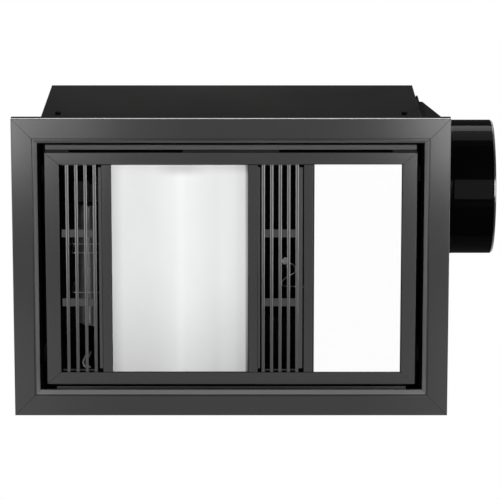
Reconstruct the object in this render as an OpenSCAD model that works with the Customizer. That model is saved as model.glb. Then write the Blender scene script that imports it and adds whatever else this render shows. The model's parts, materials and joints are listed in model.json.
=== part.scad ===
// Ceiling heater, light and exhaust fan for a bathroom, in millimetres.
// The ceiling plane is z = 0 and +Z points up into the roof space.
// The room side, with its trim frame and floating panel, faces -Z.
// The duct spigot leaves on +X, and the origin is the middle of the trim frame.

/* [Trim frame] */
// Outer width of the trim frame
trim_w = 470; // [450:1:500]
// Outer depth of the trim frame
trim_d = 328; // [326:1:345]
// Height of the trim frame below the ceiling
trim_h = 13; // [12:0.5:18]
// Width of the flat band round the frame
band_w = 22.3; // [20:0.1:24]
// Width of the groove inside the band
groove_w = 1.5; // [1:0.1:2]
// Depth of the groove inside the band
groove_h = 1.5; // [0.8:0.1:2]
// Width of the sloping bevel inside the groove
bevel_w = 3.6; // [3.2:0.1:5]
// Depth of the sloping bevel
bevel_h = 5.5; // [4:0.1:6.5]
// Wall of the trim extrusion
trim_wall = 2.4; // [1.6:0.1:2.8]
// Arm length of a corner key
key_arm = 45; // [30:1:70]
// Thickness of a corner key
key_t = 2.4; // [1.5:0.1:4]

// Distance from the frame's ends to its outer ceiling screws
trim_screw_in = 85; // [50:1:110]

/* [Floating panel] */
// Gap between the panel and the trim frame at the left and right
panel_gap_side = 8.4; // [6.5:0.1:11]
// Gap between the panel and the trim frame at the front and back
panel_gap_end = 9; // [7.5:0.1:12]
// Height of the panel face below the trim band
panel_proud = 3; // [1:0.5:6]
// Height of the panel from its face to the back of its rim
panel_h = 20.5; // [18:0.5:23]
// Width of the bezel at the left and right
bezel_side_w = 15.3; // [12:0.1:17]
// Width of the bezel at the front and back
bezel_end_w = 12.9; // [11:0.1:15]
// Thickness of the bezel face
bezel_skin = 2; // [1.2:0.1:2.4]
// Thickness of the bezel's walls
bezel_wall = 1.5; // [1:0.1:2]
// Height of the lip at the inner edge of the bezel
lip_h = 6; // [4:0.5:9]
// Thickness of the rim behind the panel
rim_t = 2.2; // [1.5:0.1:3]
// How far the rim stands out at the left and right
rim_side = 2.8; // [1.5:0.1:3.5]
// How far the rim stands out at the front and back
rim_end = 5.2; // [3:0.1:6]
// Length of an air slot in the panel's long walls
slot_len = 122; // [90:1:150]
// Distance from the middle of the panel to the middle of an air slot
slot_x = 112.7; // [100:0.5:115]
// Width of the bars between the bays
mullion_w = 10; // [8:0.1:12]
// Height of the bars between the bays
mullion_h = 12; // [9:0.5:15]
// Diameter of a latch post
post_dia = 7; // [5:0.5:8]
// Length of a latch post
post_len = 17.5; // [14:0.5:22]
// Distance from the panel's front and back edges to a latch post
post_in = 27.6; // [20:0.1:40]

/* [Bays] */
// Width of the left air grille
grille_left_w = 45.4; // [42:0.2:48]
// Width of the heater window
heater_w = 147.4; // [140:0.2:150]
// Width of the right air grille
grille_right_w = 49.5; // [46:0.2:52]
// Thickness of the heater window
glass_t = 4; // [3:0.5:5]
// Height of the glass above the face of the panel
glass_in = 0.9; // [0.4:0.1:1.5]
// Thickness of the light diffuser
diffuser_t = 2.5; // [1.5:0.1:3]

/* [Grilles] */
// Number of bars in the left grille
bars_left = 4; // [3:1:5]
// Number of bars in the right grille
bars_right = 5; // [4:1:6]
// Width of a bar
bar_w = 3.3; // [2.4:0.1:3.8]
// Height of a bar
bar_h = 7; // [5:0.5:9]
// Width of a cross bar
cross_w = 8.7; // [6:0.1:11]
// Height of a cross bar
cross_h = 2; // [1.5:0.1:3]
// Width of the step beside a grille
step_w = 2.4; // [1.6:0.1:3]
// Distance from the left bay's edge to its first bar
first_left = 6.1; // [4.5:0.1:8]
// Distance from the left bay's last bar to its edge
last_left = 6.5; // [4.5:0.1:8]
// Distance from the right bay's edge to its first bar
first_right = 4.1; // [3.5:0.1:7]
// Distance from the right bay's last bar to its edge
last_right = 5.7; // [3.5:0.1:7]

/* [Housing] */
// How far the trim frame reaches past the housing at the left and right
body_in_side = 29; // [28.5:0.1:32]
// How far the trim frame reaches past the housing at the front and back
body_in_end = 7.8; // [6:0.1:9]
// Room between the exhaust shaft's end and the top of the housing
top_room = 15.2; // [8:0.1:40]
// Thickness of the sheet metal
sheet = 1.2; // [0.8:0.1:1.6]
// Width of the flange that sits on the trim frame
foot_w = 16; // [14:0.5:18]
// Width of the flanges of the end plates
tab_w = 12; // [8:0.5:14]
// Width of the feet of the end plates
side_foot_w = 14; // [8:0.5:20]
// Height of the deck that carries the fans
deck_z = 64; // [62:0.5:68]
// Height of the flange that hangs from the deck
deck_tab = 16; // [13:0.5:20]
// Distance from the ends of the deck's flanges to a housing screw
screw_in = 3.9; // [3.2:0.1:20]
// Distance of the housing screws below the deck
screw_drop = 8; // [5:0.5:9]
// Distance from the ends of the housing to a joist fixing hole
joist_in = 56; // [40:1:86]
// Height of the joist fixing holes
joist_z = 20; // [14:0.5:26]
// Radius of the joist fixing holes
joist_r = 2.75; // [2:0.25:4]

/* [Duct outlet] */
// Outer radius of the duct spigot
duct_r = 74; // [70:0.5:76]
// Wall of the duct spigot
duct_wall = 1.8; // [1.2:0.1:2.5]
// Free length of the duct spigot
spigot_len = 43.9; // [36:0.1:60]
// How far the collar stands out round the spigot
collar_out = 1.5; // [1:0.1:2.5]
// Length of the collar
collar_len = 10; // [6:0.5:14]
// How far the square flange stands out round the root
flange_rim = 6; // [5:0.1:8]
// Thickness of the square flange
flange_t = 2; // [1.5:0.1:3]
// Thickness of the foam gasket
gasket_t = 2; // [1:0.1:4]
// Side of the square root of the adaptor
root_side = 162; // [160:1:168]
// Length of the straight part of the root
root_len = 5.1; // [4.5:0.1:8]
// Length of the tapering part of the adaptor
taper_len = 19.6; // [14:0.1:30]
// Distance from the front of the housing to the square flange
duct_in = 4.2; // [3:0.1:10]

/* [Backdraft damper] */
// Radius of the air hole that the damper closes
seat_r = 66; // [62:0.5:67]
// Radius of the damper blades
blade_r = 69; // [68:0.5:70]
// Thickness of a damper blade
blade_t = 1.2; // [0.8:0.1:1.5]
// Diameter of the damper rod
rod_dia = 4; // [3:0.2:4.6]
// Wall of a damper knuckle
knuckle_wall = 1; // [0.8:0.1:1.2]
// Length of a damper knuckle
knuckle_len = 36; // [20:1:56]

/* [Exhaust blower] */
// Distance from the right end of the housing to the blower's axis
blower_in = 146; // [144:1:154]
// Place of the blower along the depth
blower_y = 20; // [16:1:22]
// Height of the scroll beyond the impeller's own height
scroll_room = 33.2; // [28:0.2:40]
// Outer radius of the impeller
impeller_r = 75; // [70:0.5:76]
// Inner radius of the impeller's blades
impeller_in = 62; // [58:0.5:64]
// Height of the impeller
impeller_h = 60; // [50:1:66]
// Number of impeller blades
impeller_blades = 36; // [24:1:40]
// Gap between the impeller and the scroll's tongue
tongue_gap = 5.5; // [4:0.5:8]
// Largest radius of the scroll
scroll_r = 140; // [134:1:144]
// Wall of the scroll
scroll_wall_t = 1.5; // [1:0.1:2]
// Radius of the blower's inlet
inlet_r = 56; // [50:1:57]
// Radius of the exhaust motor
motor_r = 46; // [40:1:50]
// Height of the exhaust motor
motor_h = 64; // [56:1:66]
// Radius of the exhaust motor's shaft
shaft_r = 4; // [3:0.25:5]
// Outer radius of a motor bearing
bearing_r = 11; // [9:0.5:12]
// Height of a motor bearing
bearing_h = 7; // [5:0.5:9]

/* [Circulation fan] */
// Gap between the circulation fan and the heater's reflector
fan_gap = 3.2; // [1:0.1:8]
// Place of the middle of the wheel along the depth
wheel_y = 5; // [0:0.5:8]
// Radius of the circulation wheel
wheel_r = 19; // [17:0.5:19.5]
// Length of the circulation wheel
wheel_len = 134; // [120:1:138]
// Number of blades on the circulation wheel
wheel_blades = 20; // [14:1:24]
// Running gap between the wheel and its casing
wheel_gap = 3; // [2:0.2:3.2]
// Radius of the circulation wheel's shaft
wheel_shaft_r = 2.5; // [2:0.25:3]
// Length of the circulation motor
fan_motor_len = 24; // [18:1:26]

/* [Heater] */
// How far the reflector's mouth stays inside the window's sides
mouth_in = 7.7; // [6:0.1:12]
// Width of the reflector's back
reflector_back = 84; // [78:1:90]
// How far the reflector stays inside the window's ends
reflector_in = 8.4; // [6:0.1:16]
// Height of the reflector
reflector_h = 44; // [40:1:46]
// Thickness of the reflector
reflector_t = 0.8; // [0.6:0.1:1.2]
// Gap between the reflector and the deck
hanger_h = 8; // [7:0.5:10]
// Distance between the two heat lamps
lamp_pitch = 50; // [42:1:54]
// Radius of a heat lamp
lamp_r = 6.5; // [5.5:0.25:7]
// Distance of the lamps below the reflector's back
lamp_drop = 20; // [17:0.5:22]
// Radius of a ceramic lamp cap
cap_r = 8.5; // [8:0.25:9.5]
// Length of a ceramic lamp cap
cap_len = 16; // [12:0.5:18]

/* [Light] */
// Wall of the light tray
tray_wall = 1.2; // [0.8:0.1:1.6]
// Height of the light tray
tray_h = 22; // [18:0.5:26]
// Thickness of the circuit board
board_t = 1.6; // [1:0.1:2]
// Distance between light emitters
led_pitch = 18; // [14:0.5:22]
// Side of a light emitter
led_side = 3.5; // [2.8:0.1:5]
// Width of the light's driver
driver_w = 46; // [36:1:56]
// Length of the light's driver
driver_len = 110; // [80:1:130]
// Height of the light's driver
driver_h = 18; // [14:0.5:22]

/* [Electrical] */
// Width of the terminal box
box_w = 90; // [80:1:100]
// Depth of the terminal box
box_d = 70; // [66:1:80]
// Height of the terminal box
box_h = 34; // [30:0.5:45]
// Wall of the terminal box
box_wall = 2; // [1.5:0.1:3]
// Distance from the left end of the housing to the terminal box
box_in = 31; // [20:1:60]
// Place of the terminal box along the depth
box_y = 60; // [40:1:80]
// Radius of the cable bore
cable_r = 5; // [3.5:0.25:5.5]

/* [Hidden] */

$fn = 96;
// Overrun of a cut past the face that it opens
cut = 1;
// Gap of a seated piece from what carries it
seat = 0.3;
// Hairline gap between pieces that lie on each other
hair = 0.1;
// Half the hairline gap at a mitre
mitre = 0.1;
// Radial clearance of a running fit
run_fit = 0.05;
// Flange of a bracket that hangs under the deck
bracket_w = 12;

// Trim frame
rail_w = band_w + groove_w + bevel_w;
bevel_top = -trim_h + 0.5;
bevel_back = bevel_top + bevel_h;
rib_w = 6.3;
rib_in = band_w - 1;
rib_out = rib_in - rib_w;
trim_screw_y = trim_d / 2 - (rib_in + rib_out) / 2;
trim_screw_xs = [-1, 0, 1] * (trim_w / 2 - trim_screw_in);
trim_screw_r = 1.5;
trim_screw_len = 9;
trim_head_r = 2.8;
trim_head_h = 2;

// Floating panel, which fits the opening of the trim frame
panel_w = trim_w - 2 * (rail_w + panel_gap_side);
panel_d = trim_d - 2 * (rail_w + panel_gap_end);
face_z = -trim_h - panel_proud;
rim_z = face_z + panel_h;
bay_d = panel_d - 2 * bezel_end_w - 2 * seat;
bay_x0 = -panel_w / 2 + bezel_side_w;
bay_x1 = bay_x0 + grille_left_w;
bay_x2 = bay_x1 + mullion_w;
bay_x3 = bay_x2 + heater_w;
bay_x4 = bay_x3 + mullion_w;
bay_x5 = bay_x4 + grille_right_w;
bay_x6 = bay_x5 + mullion_w;
bay_x7 = panel_w / 2 - bezel_side_w;
post_x = panel_w / 2 - bezel_side_w / 2;
post_y = panel_d / 2 - post_in;
bar_z = face_z + 1;
cross_z = bar_z + bar_h - cross_h;
glass_z = face_z + glass_in;
gasket_h = 2;
gasket_w = 5;
clip_z = glass_z + glass_t + gasket_h;
clip_t = 1;
clip_pitch = bay_d / 2 - 34.4;
tray_z = glass_z + diffuser_t;
tray_top = tray_z + tray_h;
post_foot = 2;
block_margin = 4;
block_z = tray_top + 1;
block_h = 12;

// Housing, which stands inside the outline of the trim frame
body_w = trim_w - 2 * body_in_side;
body_d = trim_d - 2 * body_in_end;
wall_in_y = body_d / 2 - sheet;
wall_in_x = body_w / 2 - sheet;
deck_x = body_w / 2 - tab_w - seat - 1.5;
deck_half_d = wall_in_y - 0.1;
deck_top = deck_z + sheet;
screw_x = deck_x - screw_in;
screw_z = deck_z - screw_drop;
joist_x = body_w / 2 - joist_in;
head_r = 2.7;
head_h = 1.8;
screw_r = 1.9;
screw_len = 8;
foot_end = tab_w + 3;

// Duct outlet, level with the middle of the blower's scroll
scroll_bottom = deck_top + 2 * hair;
duct_z = scroll_bottom + (impeller_h + scroll_room) / 2;
flange_side = root_side + 2 * flange_rim;
duct_y = -body_d / 2 + duct_in + flange_side / 2;
gasket_x = body_w / 2;
flange_x = gasket_x + gasket_t;
root_x = flange_x + flange_t;
collar_x = root_x + root_len + taper_len;
spigot_x = collar_x + collar_len;
duct_end = spigot_x + spigot_len;
duct_in_r = duct_r - duct_wall;
adaptor_wall = 2;
flange_screw_at = (root_side + flange_side) / 4;
flange_screw_r = 1.2;
flange_screw_len = flange_t + gasket_t + sheet + 2.8;
flange_head_r = 2.4;
flange_head_h = 1.4;

// Backdraft damper: the blades lie on the flange side of their rod
rod_r = rod_dia / 2;
knuckle_r = rod_r + run_fit + knuckle_wall;
blade_x = root_x + seat;
rod_x = blade_x + blade_t + knuckle_r + seat;
rod_half = root_side / 2 - 0.8;
blade_split = 0.5;
knuckle_gap = 4;

// Exhaust blower
blower_x = body_w / 2 - blower_in;
tongue_r = impeller_r + tongue_gap + scroll_wall_t;
tongue_a = -22;
scroll_top = 2 * duct_z - scroll_bottom;
scroll_steps = 48;
mouth_y0 = blower_y - scroll_r;
mouth_y1 = blower_y + tongue_r * sin(tongue_a);
mouth_z0 = scroll_bottom + scroll_wall_t;
mouth_z1 = scroll_top - scroll_wall_t;
impeller_z = deck_top + 8;
plate_t = 1.5;
hub_wall = 9;
hub_r = shaft_r + hub_wall;
hub_low = 20;
hub_h = 26;
motor_z = scroll_top;
motor_wall = 2.5;
motor_lip = 10;
motor_flange_r = motor_r + motor_lip;
shaft_z0 = impeller_z + impeller_h - hub_low - 2;
shaft_z1 = motor_z + motor_h + 6;
body_h = shaft_z1 + top_room;
rotor_r = 23;
rotor_gap = 0.6;
rotor_z = motor_z + motor_wall + bearing_h + 2;
rotor_h = motor_h - 2 * (motor_wall + bearing_h) - 4;

// Heater
heater_x = (bay_x2 + bay_x3) / 2;
reflector_mouth = heater_w - 2 * mouth_in;
reflector_len = bay_d - 2 * reflector_in;
reflector_top = deck_z - hanger_h;
reflector_z = reflector_top - reflector_h;
lamp_z = reflector_top - lamp_drop;
lamp_half = reflector_len / 2 - 2;
hanger_r = 3;

// Circulation fan, beside the reflector and under the deck's brackets
casing_r = wheel_r + wheel_gap;
casing_t = 1.2;
fan_edge = heater_x - reflector_mouth / 2 - fan_gap;
wheel_x = fan_edge - casing_r - 1.5;
wheel_z = deck_z - sheet - 2 * seat - casing_t - casing_r;
fan_y0 = wheel_y - wheel_len / 2 - 3;
fan_y1 = wheel_y + wheel_len / 2 + 3;
fan_low = wheel_z - casing_r - 1.5;
fan_motor_w = 46;
fan_motor_h = 40;
bush_r = wheel_shaft_r + 2.5;
// Angles at which the casing ends below and above the wheel's axis
casing_low = 30;
casing_high = 55;

// Light
tray_x0 = bay_x6 + 0.4;
tray_x1 = bay_x7 - 0.4;
tray_d = bay_d - 0.2;
board_z = tray_top - tray_wall - board_t - seat;

// Terminal box on top of the housing
box_x = -body_w / 2 + box_in + box_w / 2;
box_z = body_h;
lid_t = 2.5;
lid_lip = 2;
gland_z = box_z + box_h / 2;
gland_len = 9;
gland_wall = 4;
wire_hole_r = 10;

// Section of a trim rail: x runs inward from the outer edge and y is height
module trim_profile() {
    difference() {
        polygon([
            [0, 0], [0, -trim_h], [band_w, -trim_h], [band_w, -trim_h + groove_h],
            [band_w + groove_w, -trim_h + groove_h], [band_w + groove_w, bevel_top],
            [rail_w, bevel_back], [rail_w, 0]
        ]);
        translate([trim_wall, -trim_h + trim_wall])
            square([rib_out - trim_wall, trim_h + cut]);
        translate([rib_in, bevel_back])
            square([rail_w - trim_wall - rib_in, trim_h]);
    }
}

// Rail that lies along X with its outer edge at y = -half, mitred at both ends
module trim_rail(len, half, holes) {
    reach = rail_w + cut;
    difference() {
        intersection() {
            translate([-len / 2, -half, 0])
                rotate([90, 0, 90])
                    linear_extrude(len)
                        trim_profile();
            translate([0, -half, -trim_h - cut])
                linear_extrude(trim_h + 2 * cut)
                    polygon([
                        [-len / 2 + mitre, 0], [len / 2 - mitre, 0],
                        [len / 2 - mitre - reach, reach], [-len / 2 + mitre + reach, reach]
                    ]);
        }
        if (holes)
            for (x = trim_screw_xs)
                translate([x, -trim_screw_y, -trim_screw_len])
                    cylinder(r = trim_screw_r + run_fit, h = trim_screw_len + cut);
    }
}

module trim_rail_front() {
    color("#4a4b4d") trim_rail(trim_w, trim_d / 2, true);
}

module trim_rail_back() {
    color("#4a4b4d") rotate([0, 0, 180]) trim_rail(trim_w, trim_d / 2, true);
}

module trim_rail_left() {
    color("#4a4b4d") rotate([0, 0, -90]) trim_rail(trim_d, trim_w / 2, false);
}

module trim_rail_right() {
    color("#4a4b4d") rotate([0, 0, 90]) trim_rail(trim_d, trim_w / 2, false);
}

// One L-shaped key lies in the channel at each corner of the frame
module trim_corner_keys() {
    play = 0.15;
    in = trim_wall + play;
    arm_w = rib_out - trim_wall - 2 * play;
    color("#b9bbbd")
        for (sx = [0, 1], sy = [0, 1])
            mirror([sx, 0, 0])
                mirror([0, sy, 0])
                    translate([-trim_w / 2 + in, -trim_d / 2 + in, -trim_h + trim_wall + play]) {
                        cube([key_arm, arm_w, key_t]);
                        cube([arm_w, key_arm, key_t]);
                    }
}

module pan_screw(r, len, head, height) {
    translate([0, 0, -len])
        cylinder(r = r, h = len);
    cylinder(r = head, h = height);
}

module trim_screws() {
    color("#8d9093")
        for (x = trim_screw_xs, s = [-1, 1])
            translate([x, s * trim_screw_y, sheet])
                pan_screw(trim_screw_r, trim_screw_len, trim_head_r, trim_head_h);
}

// Section of a bezel rail: x runs inward from the face's outer edge
module bezel_profile(w, out) {
    square([w, bezel_skin]);
    square([bezel_wall, panel_h]);
    translate([w - bezel_wall, 0])
        square([bezel_wall, lip_h]);
    translate([-out, panel_h - rim_t])
        square([w + out, rim_t]);
}

// Rail along X with its face's outer edge at y = -half; w is its own width
// and the mitre runs to the corner that it makes with a rail of width other
module bezel_rail(len, half, w, out, other, other_out, slots) {
    slope = other / w;
    reach = w + cut;
    back = out + cut;
    translate([0, 0, face_z])
        difference() {
            intersection() {
                translate([-len / 2 - other_out, -half, 0])
                    rotate([90, 0, 90])
                        linear_extrude(len + 2 * other_out)
                            bezel_profile(w, out);
                translate([0, -half, -cut])
                    linear_extrude(panel_h + 2 * cut)
                        polygon([
                            [-len / 2 - other_out + mitre, -back],
                            [len / 2 + other_out - mitre, -back],
                            [len / 2 + other_out - mitre, -out],
                            [len / 2 - mitre, 0],
                            [len / 2 - mitre - reach * slope, reach],
                            [-len / 2 + mitre + reach * slope, reach],
                            [-len / 2 + mitre, 0],
                            [-len / 2 - other_out + mitre, -out]
                        ]);
            }
            if (slots)
                for (s = [-1, 1])
                    translate([s * slot_x - slot_len / 2, -half - cut, bezel_skin])
                        cube([slot_len, bezel_wall + cut + 0.01, panel_h - bezel_skin - rim_t]);
        }
}

module bezel_long() {
    bezel_rail(panel_w, panel_d / 2, bezel_end_w, rim_end, bezel_side_w, rim_side, true);
}

module bezel_short() {
    bezel_rail(panel_d, panel_w / 2, bezel_side_w, rim_side, bezel_end_w, rim_end, false);
}

module bezel_rail_front() {
    color("#454648") bezel_long();
}

module bezel_rail_back() {
    color("#454648") rotate([0, 0, 180]) bezel_long();
}

module bezel_rail_left() {
    color("#454648") rotate([0, 0, -90]) bezel_short();
}

module bezel_rail_right() {
    color("#454648") rotate([0, 0, 90]) bezel_short();
}

// Channel bar between two bays, open at its back
module mullion(x0) {
    color("#454648")
        translate([x0 + 0.1, -bay_d / 2, face_z])
            difference() {
                cube([mullion_w - 0.2, bay_d, mullion_h]);
                translate([bezel_wall, -cut, bezel_skin])
                    cube([mullion_w - 0.2 - 2 * bezel_wall, bay_d + 2 * cut, mullion_h]);
            }
}

module mullion_left() {
    mullion(bay_x1);
}

module mullion_middle() {
    mullion(bay_x3);
}

module mullion_right() {
    mullion(bay_x5);
}

// Grille insert with n bars; the first and last bars stand first and last from its ends
module grille(x0, w, n, first, last) {
    pitch = (w - first - last - bar_w) / (n - 1);
    end_w = 1.6;
    notch = 4;
    in = 0.2;
    translate([x0 + in, -bay_d / 2, bar_z])
        cube([w - 2 * in, end_w, bar_h]);
    translate([x0 + in, bay_d / 2 - end_w, bar_z])
        cube([w - 2 * in, end_w, bar_h]);
    for (i = [0 : n - 1])
        translate([x0 + first + i * pitch, -bay_d / 2, bar_z])
            cube([bar_w, bay_d, bar_h]);
    for (s = [-1, 1])
        translate([x0 + in, s * bay_d / 6 - cross_w / 2, cross_z])
            cube([w - 2 * in, cross_w, cross_h]);
    for (x = [x0 + in, x0 + w - in - step_w])
        translate([x, -bay_d / 2 + notch, cross_z])
            cube([step_w, bay_d - 2 * notch, cross_h]);
}

module grille_left() {
    color("#3f4042") grille(bay_x0, grille_left_w, bars_left, first_left, last_left);
}

module grille_right() {
    color("#3f4042") grille(bay_x4, grille_right_w, bars_right, first_right, last_right);
}

module heater_glass() {
    color("#e7e8ea")
        translate([bay_x2 + seat, -bay_d / 2, glass_z])
            cube([heater_w - 2 * seat, bay_d, glass_t]);
}

// Four silicone strips lie behind the edges of the glass
module glass_gasket() {
    z = glass_z + glass_t;
    color("#c9c9c6") {
        for (x = [bay_x2 + seat, bay_x3 - seat - gasket_w])
            translate([x, -bay_d / 2, z])
                cube([gasket_w, bay_d, gasket_h - 0.1]);
        for (y = [-bay_d / 2, bay_d / 2 - gasket_w])
            translate([bay_x2 + seat + gasket_w + 0.2, y, z])
                cube([heater_w - 2 * (seat + gasket_w + 0.2), gasket_w, gasket_h - 0.1]);
    }
}

// Six angle clips hold the glass and its gasket against the bars
module glass_clips() {
    clip_w = 18;
    foot = gasket_w + 1;
    leg = mullion_h + face_z - clip_z;
    color("#8d9093")
        for (y = [-1, 0, 1] * clip_pitch) {
            translate([bay_x2 + 0.1, y - clip_w / 2, clip_z]) {
                cube([foot, clip_w, clip_t]);
                cube([clip_t, clip_w, leg]);
            }
            translate([bay_x3 - 0.1 - foot, y - clip_w / 2, clip_z]) {
                cube([foot, clip_w, clip_t]);
                translate([foot - clip_t, 0, 0])
                    cube([clip_t, clip_w, leg]);
            }
        }
}

module light_diffuser() {
    color("#fbfbfb")
        translate([tray_x0, -tray_d / 2, glass_z])
            cube([tray_x1 - tray_x0, tray_d, diffuser_t - 0.1]);
}

module light_tray() {
    color("#d8dadb")
        translate([tray_x0, -tray_d / 2, tray_z])
            difference() {
                cube([tray_x1 - tray_x0, tray_d, tray_h]);
                translate([tray_wall, tray_wall, -cut])
                    cube([
                        tray_x1 - tray_x0 - 2 * tray_wall,
                        tray_d - 2 * tray_wall,
                        tray_h - tray_wall + cut
                    ]);
            }
}

// Circuit board with a grid of light emitters on its underside
module light_board() {
    edge = tray_wall + 1.5;
    w = tray_x1 - tray_x0 - 2 * edge;
    d = tray_d - 2 * edge;
    nx = floor((w - 10) / led_pitch);
    ny = floor((d - 10) / led_pitch);
    color("#e9ebe6")
        translate([(tray_x0 + tray_x1) / 2, 0, board_z]) {
            translate([-w / 2, -d / 2, 0])
                cube([w, d, board_t]);
            for (i = [0 : nx], j = [0 : ny])
                translate([
                    (i - nx / 2) * led_pitch - led_side / 2,
                    (j - ny / 2) * led_pitch - led_side / 2,
                    -0.9
                ])
                    cube([led_side, led_side, 1]);
        }
}

module light_driver() {
    color("#dadada")
        translate([(tray_x0 + tray_x1) / 2 - driver_w / 2, -driver_len / 2, tray_top + 0.2])
            cube([driver_w, driver_len, driver_h]);
}

// Four latch posts stand on the back of the side rails
module panel_posts() {
    color("#a9abad")
        for (sx = [-1, 1], sy = [-1, 1])
            translate([sx * post_x, sy * post_y, rim_z]) {
                cylinder(r = post_dia / 2 + post_foot, h = 1.5);
                cylinder(r = post_dia / 2, h = post_len);
            }
}

// Four nylon blocks on the end plates grip the latch posts
module latch_blocks() {
    block_d = 18;
    in_x = post_x - post_dia / 2 - block_margin;
    color("#2c2d2f")
        for (sx = [0, 1], sy = [-1, 1])
            mirror([sx, 0, 0])
                difference() {
                    translate([in_x, sy * post_y - block_d / 2, block_z])
                        cube([wall_in_x - seat - in_x, block_d, block_h]);
                    translate([post_x, sy * post_y, block_z - cut])
                        cylinder(r = post_dia / 2 + run_fit, h = block_h + 2 * cut);
                }
}

// Bent wrap: the top and both long walls, with feet that sit on the trim frame
module housing_wrap() {
    color("#2b2b2a")
        difference() {
            union() {
                translate([-body_w / 2, -body_d / 2, body_h - sheet])
                    cube([body_w, body_d, sheet]);
                for (s = [0, 1])
                    mirror([0, s, 0]) {
                        translate([-body_w / 2, -body_d / 2, 0])
                            cube([body_w, sheet, body_h]);
                        translate([-body_w / 2 + foot_end, -body_d / 2, 0])
                            cube([body_w - 2 * foot_end, foot_w, sheet]);
                    }
            }
            for (x = trim_screw_xs, s = [-1, 1])
                translate([x, s * trim_screw_y, -cut])
                    cylinder(r = trim_screw_r + 0.3, h = sheet + 2 * cut);
            for (x = [-1, 1] * screw_x)
                translate([x, 0, screw_z])
                    rotate([90, 0, 0])
                        cylinder(r = screw_r + run_fit, h = body_d + 2 * cut, center = true);
            for (x = [-1, 1] * joist_x)
                translate([x, 0, joist_z])
                    rotate([90, 0, 0])
                        cylinder(r = joist_r, h = body_d + 2 * cut, center = true);
            translate([box_x, box_y, body_h - sheet - cut])
                cylinder(r = wire_hole_r + 2, h = sheet + 2 * cut);
        }
}

// End plate at +X: two flanges lie inside the wrap and a foot sits on the trim frame
module end_plate() {
    d = wall_in_y - 0.2;
    h = body_h - sheet - 0.2;
    foot_d = body_d / 2 - foot_w;
    translate([wall_in_x, -d, 0])
        cube([sheet, 2 * d, h]);
    translate([wall_in_x, -foot_d, 0])
        cube([sheet + side_foot_w, 2 * foot_d, sheet]);
    for (s = [0, 1])
        mirror([0, s, 0])
            translate([body_w / 2 - tab_w, -d, 0])
                cube([tab_w, sheet, h]);
}

module housing_end_left() {
    color("#2b2b2a") mirror([1, 0, 0]) end_plate();
}

module housing_end_right() {
    color("#2b2b2a")
        difference() {
            end_plate();
            translate([wall_in_x - cut, mouth_y0 + scroll_wall_t, mouth_z0])
                cube([
                    sheet + 2 * cut,
                    mouth_y1 - mouth_y0 - 2 * scroll_wall_t,
                    mouth_z1 - mouth_z0
                ]);
            at_flange_screws(wall_in_x - cut)
                cylinder(r = flange_screw_r + run_fit, h = sheet + 2 * cut);
        }
}

module housing_screws() {
    color("#161616")
        for (sx = [-1, 1], sy = [-1, 1])
            translate([sx * screw_x, sy * body_d / 2, screw_z])
                rotate([-sy * 90, 0, 0])
                    pan_screw(screw_r, screw_len, head_r, head_h);
}

// Deck across the housing, with flanges that hang against the long walls
module deck_plate() {
    notch_y = deck_half_d - tab_w;
    color("#9c9ea0")
        difference() {
            union() {
                translate([-wall_in_x + seat, -notch_y, deck_z])
                    cube([2 * (wall_in_x - seat), 2 * notch_y, sheet]);
                translate([-deck_x, -deck_half_d, deck_z])
                    cube([2 * deck_x, 2 * deck_half_d, sheet]);
                for (s = [0, 1])
                    mirror([0, s, 0])
                        translate([-deck_x, -deck_half_d, deck_z - deck_tab])
                            cube([2 * deck_x, sheet, deck_tab + sheet]);
            }
            translate([blower_x, blower_y, deck_z - cut])
                cylinder(r = inlet_r, h = sheet + 2 * cut);
            for (x = [-1, 1] * screw_x)
                translate([x, 0, screw_z])
                    rotate([90, 0, 0])
                        cylinder(r = screw_r + run_fit, h = body_d, center = true);
        }
}

// Square plate on the duct's axis, from x to x + t
module duct_square(x, t, side) {
    translate([x, duct_y - side / 2, duct_z - side / 2])
        cube([t, side, side]);
}

// Cylinder on the duct's axis, from x to x + t
module duct_round(x, t, r) {
    translate([x, duct_y, duct_z])
        rotate([0, 90, 0])
            cylinder(r = r, h = t);
}

// The four screws stand at the middle of the flange's sides
module at_flange_screws(x) {
    for (a = [0, 90, 180, 270])
        translate([x, duct_y, duct_z])
            rotate([a, 0, 0])
                translate([0, flange_screw_at, 0])
                    rotate([0, 90, 0])
                        children();
}

module duct_gasket() {
    color("#232323")
        difference() {
            duct_square(gasket_x + 0.1, gasket_t - 0.2, flange_side - 2);
            duct_round(gasket_x - cut, gasket_t + 2 * cut, seat_r + 6);
            at_flange_screws(gasket_x - cut)
                cylinder(r = flange_screw_r + 0.3, h = gasket_t + 2 * cut);
        }
}

module duct_flange() {
    color("#141414")
        difference() {
            duct_square(flange_x, flange_t, flange_side);
            duct_round(flange_x - cut, flange_t + 2 * cut, seat_r);
            at_flange_screws(flange_x - cut)
                cylinder(r = flange_screw_r + run_fit, h = flange_t + 2 * cut);
        }
}

// Solid of the adaptor: a square root that tapers to the round collar
module adaptor_solid(side, r, over) {
    duct_square(root_x - over, root_len + over, side);
    hull() {
        duct_square(root_x + root_len - 0.1, 0.1, side);
        duct_round(collar_x - 0.1, 0.1 + over, r);
    }
}

module duct_adaptor() {
    color("#141414")
        difference() {
            adaptor_solid(root_side, duct_r + collar_out, 0);
            adaptor_solid(root_side - 2 * adaptor_wall, duct_in_r, cut);
            translate([rod_x, duct_y, duct_z])
                cylinder(r = rod_r + run_fit, h = root_side + 2 * cut, center = true);
        }
}

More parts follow.
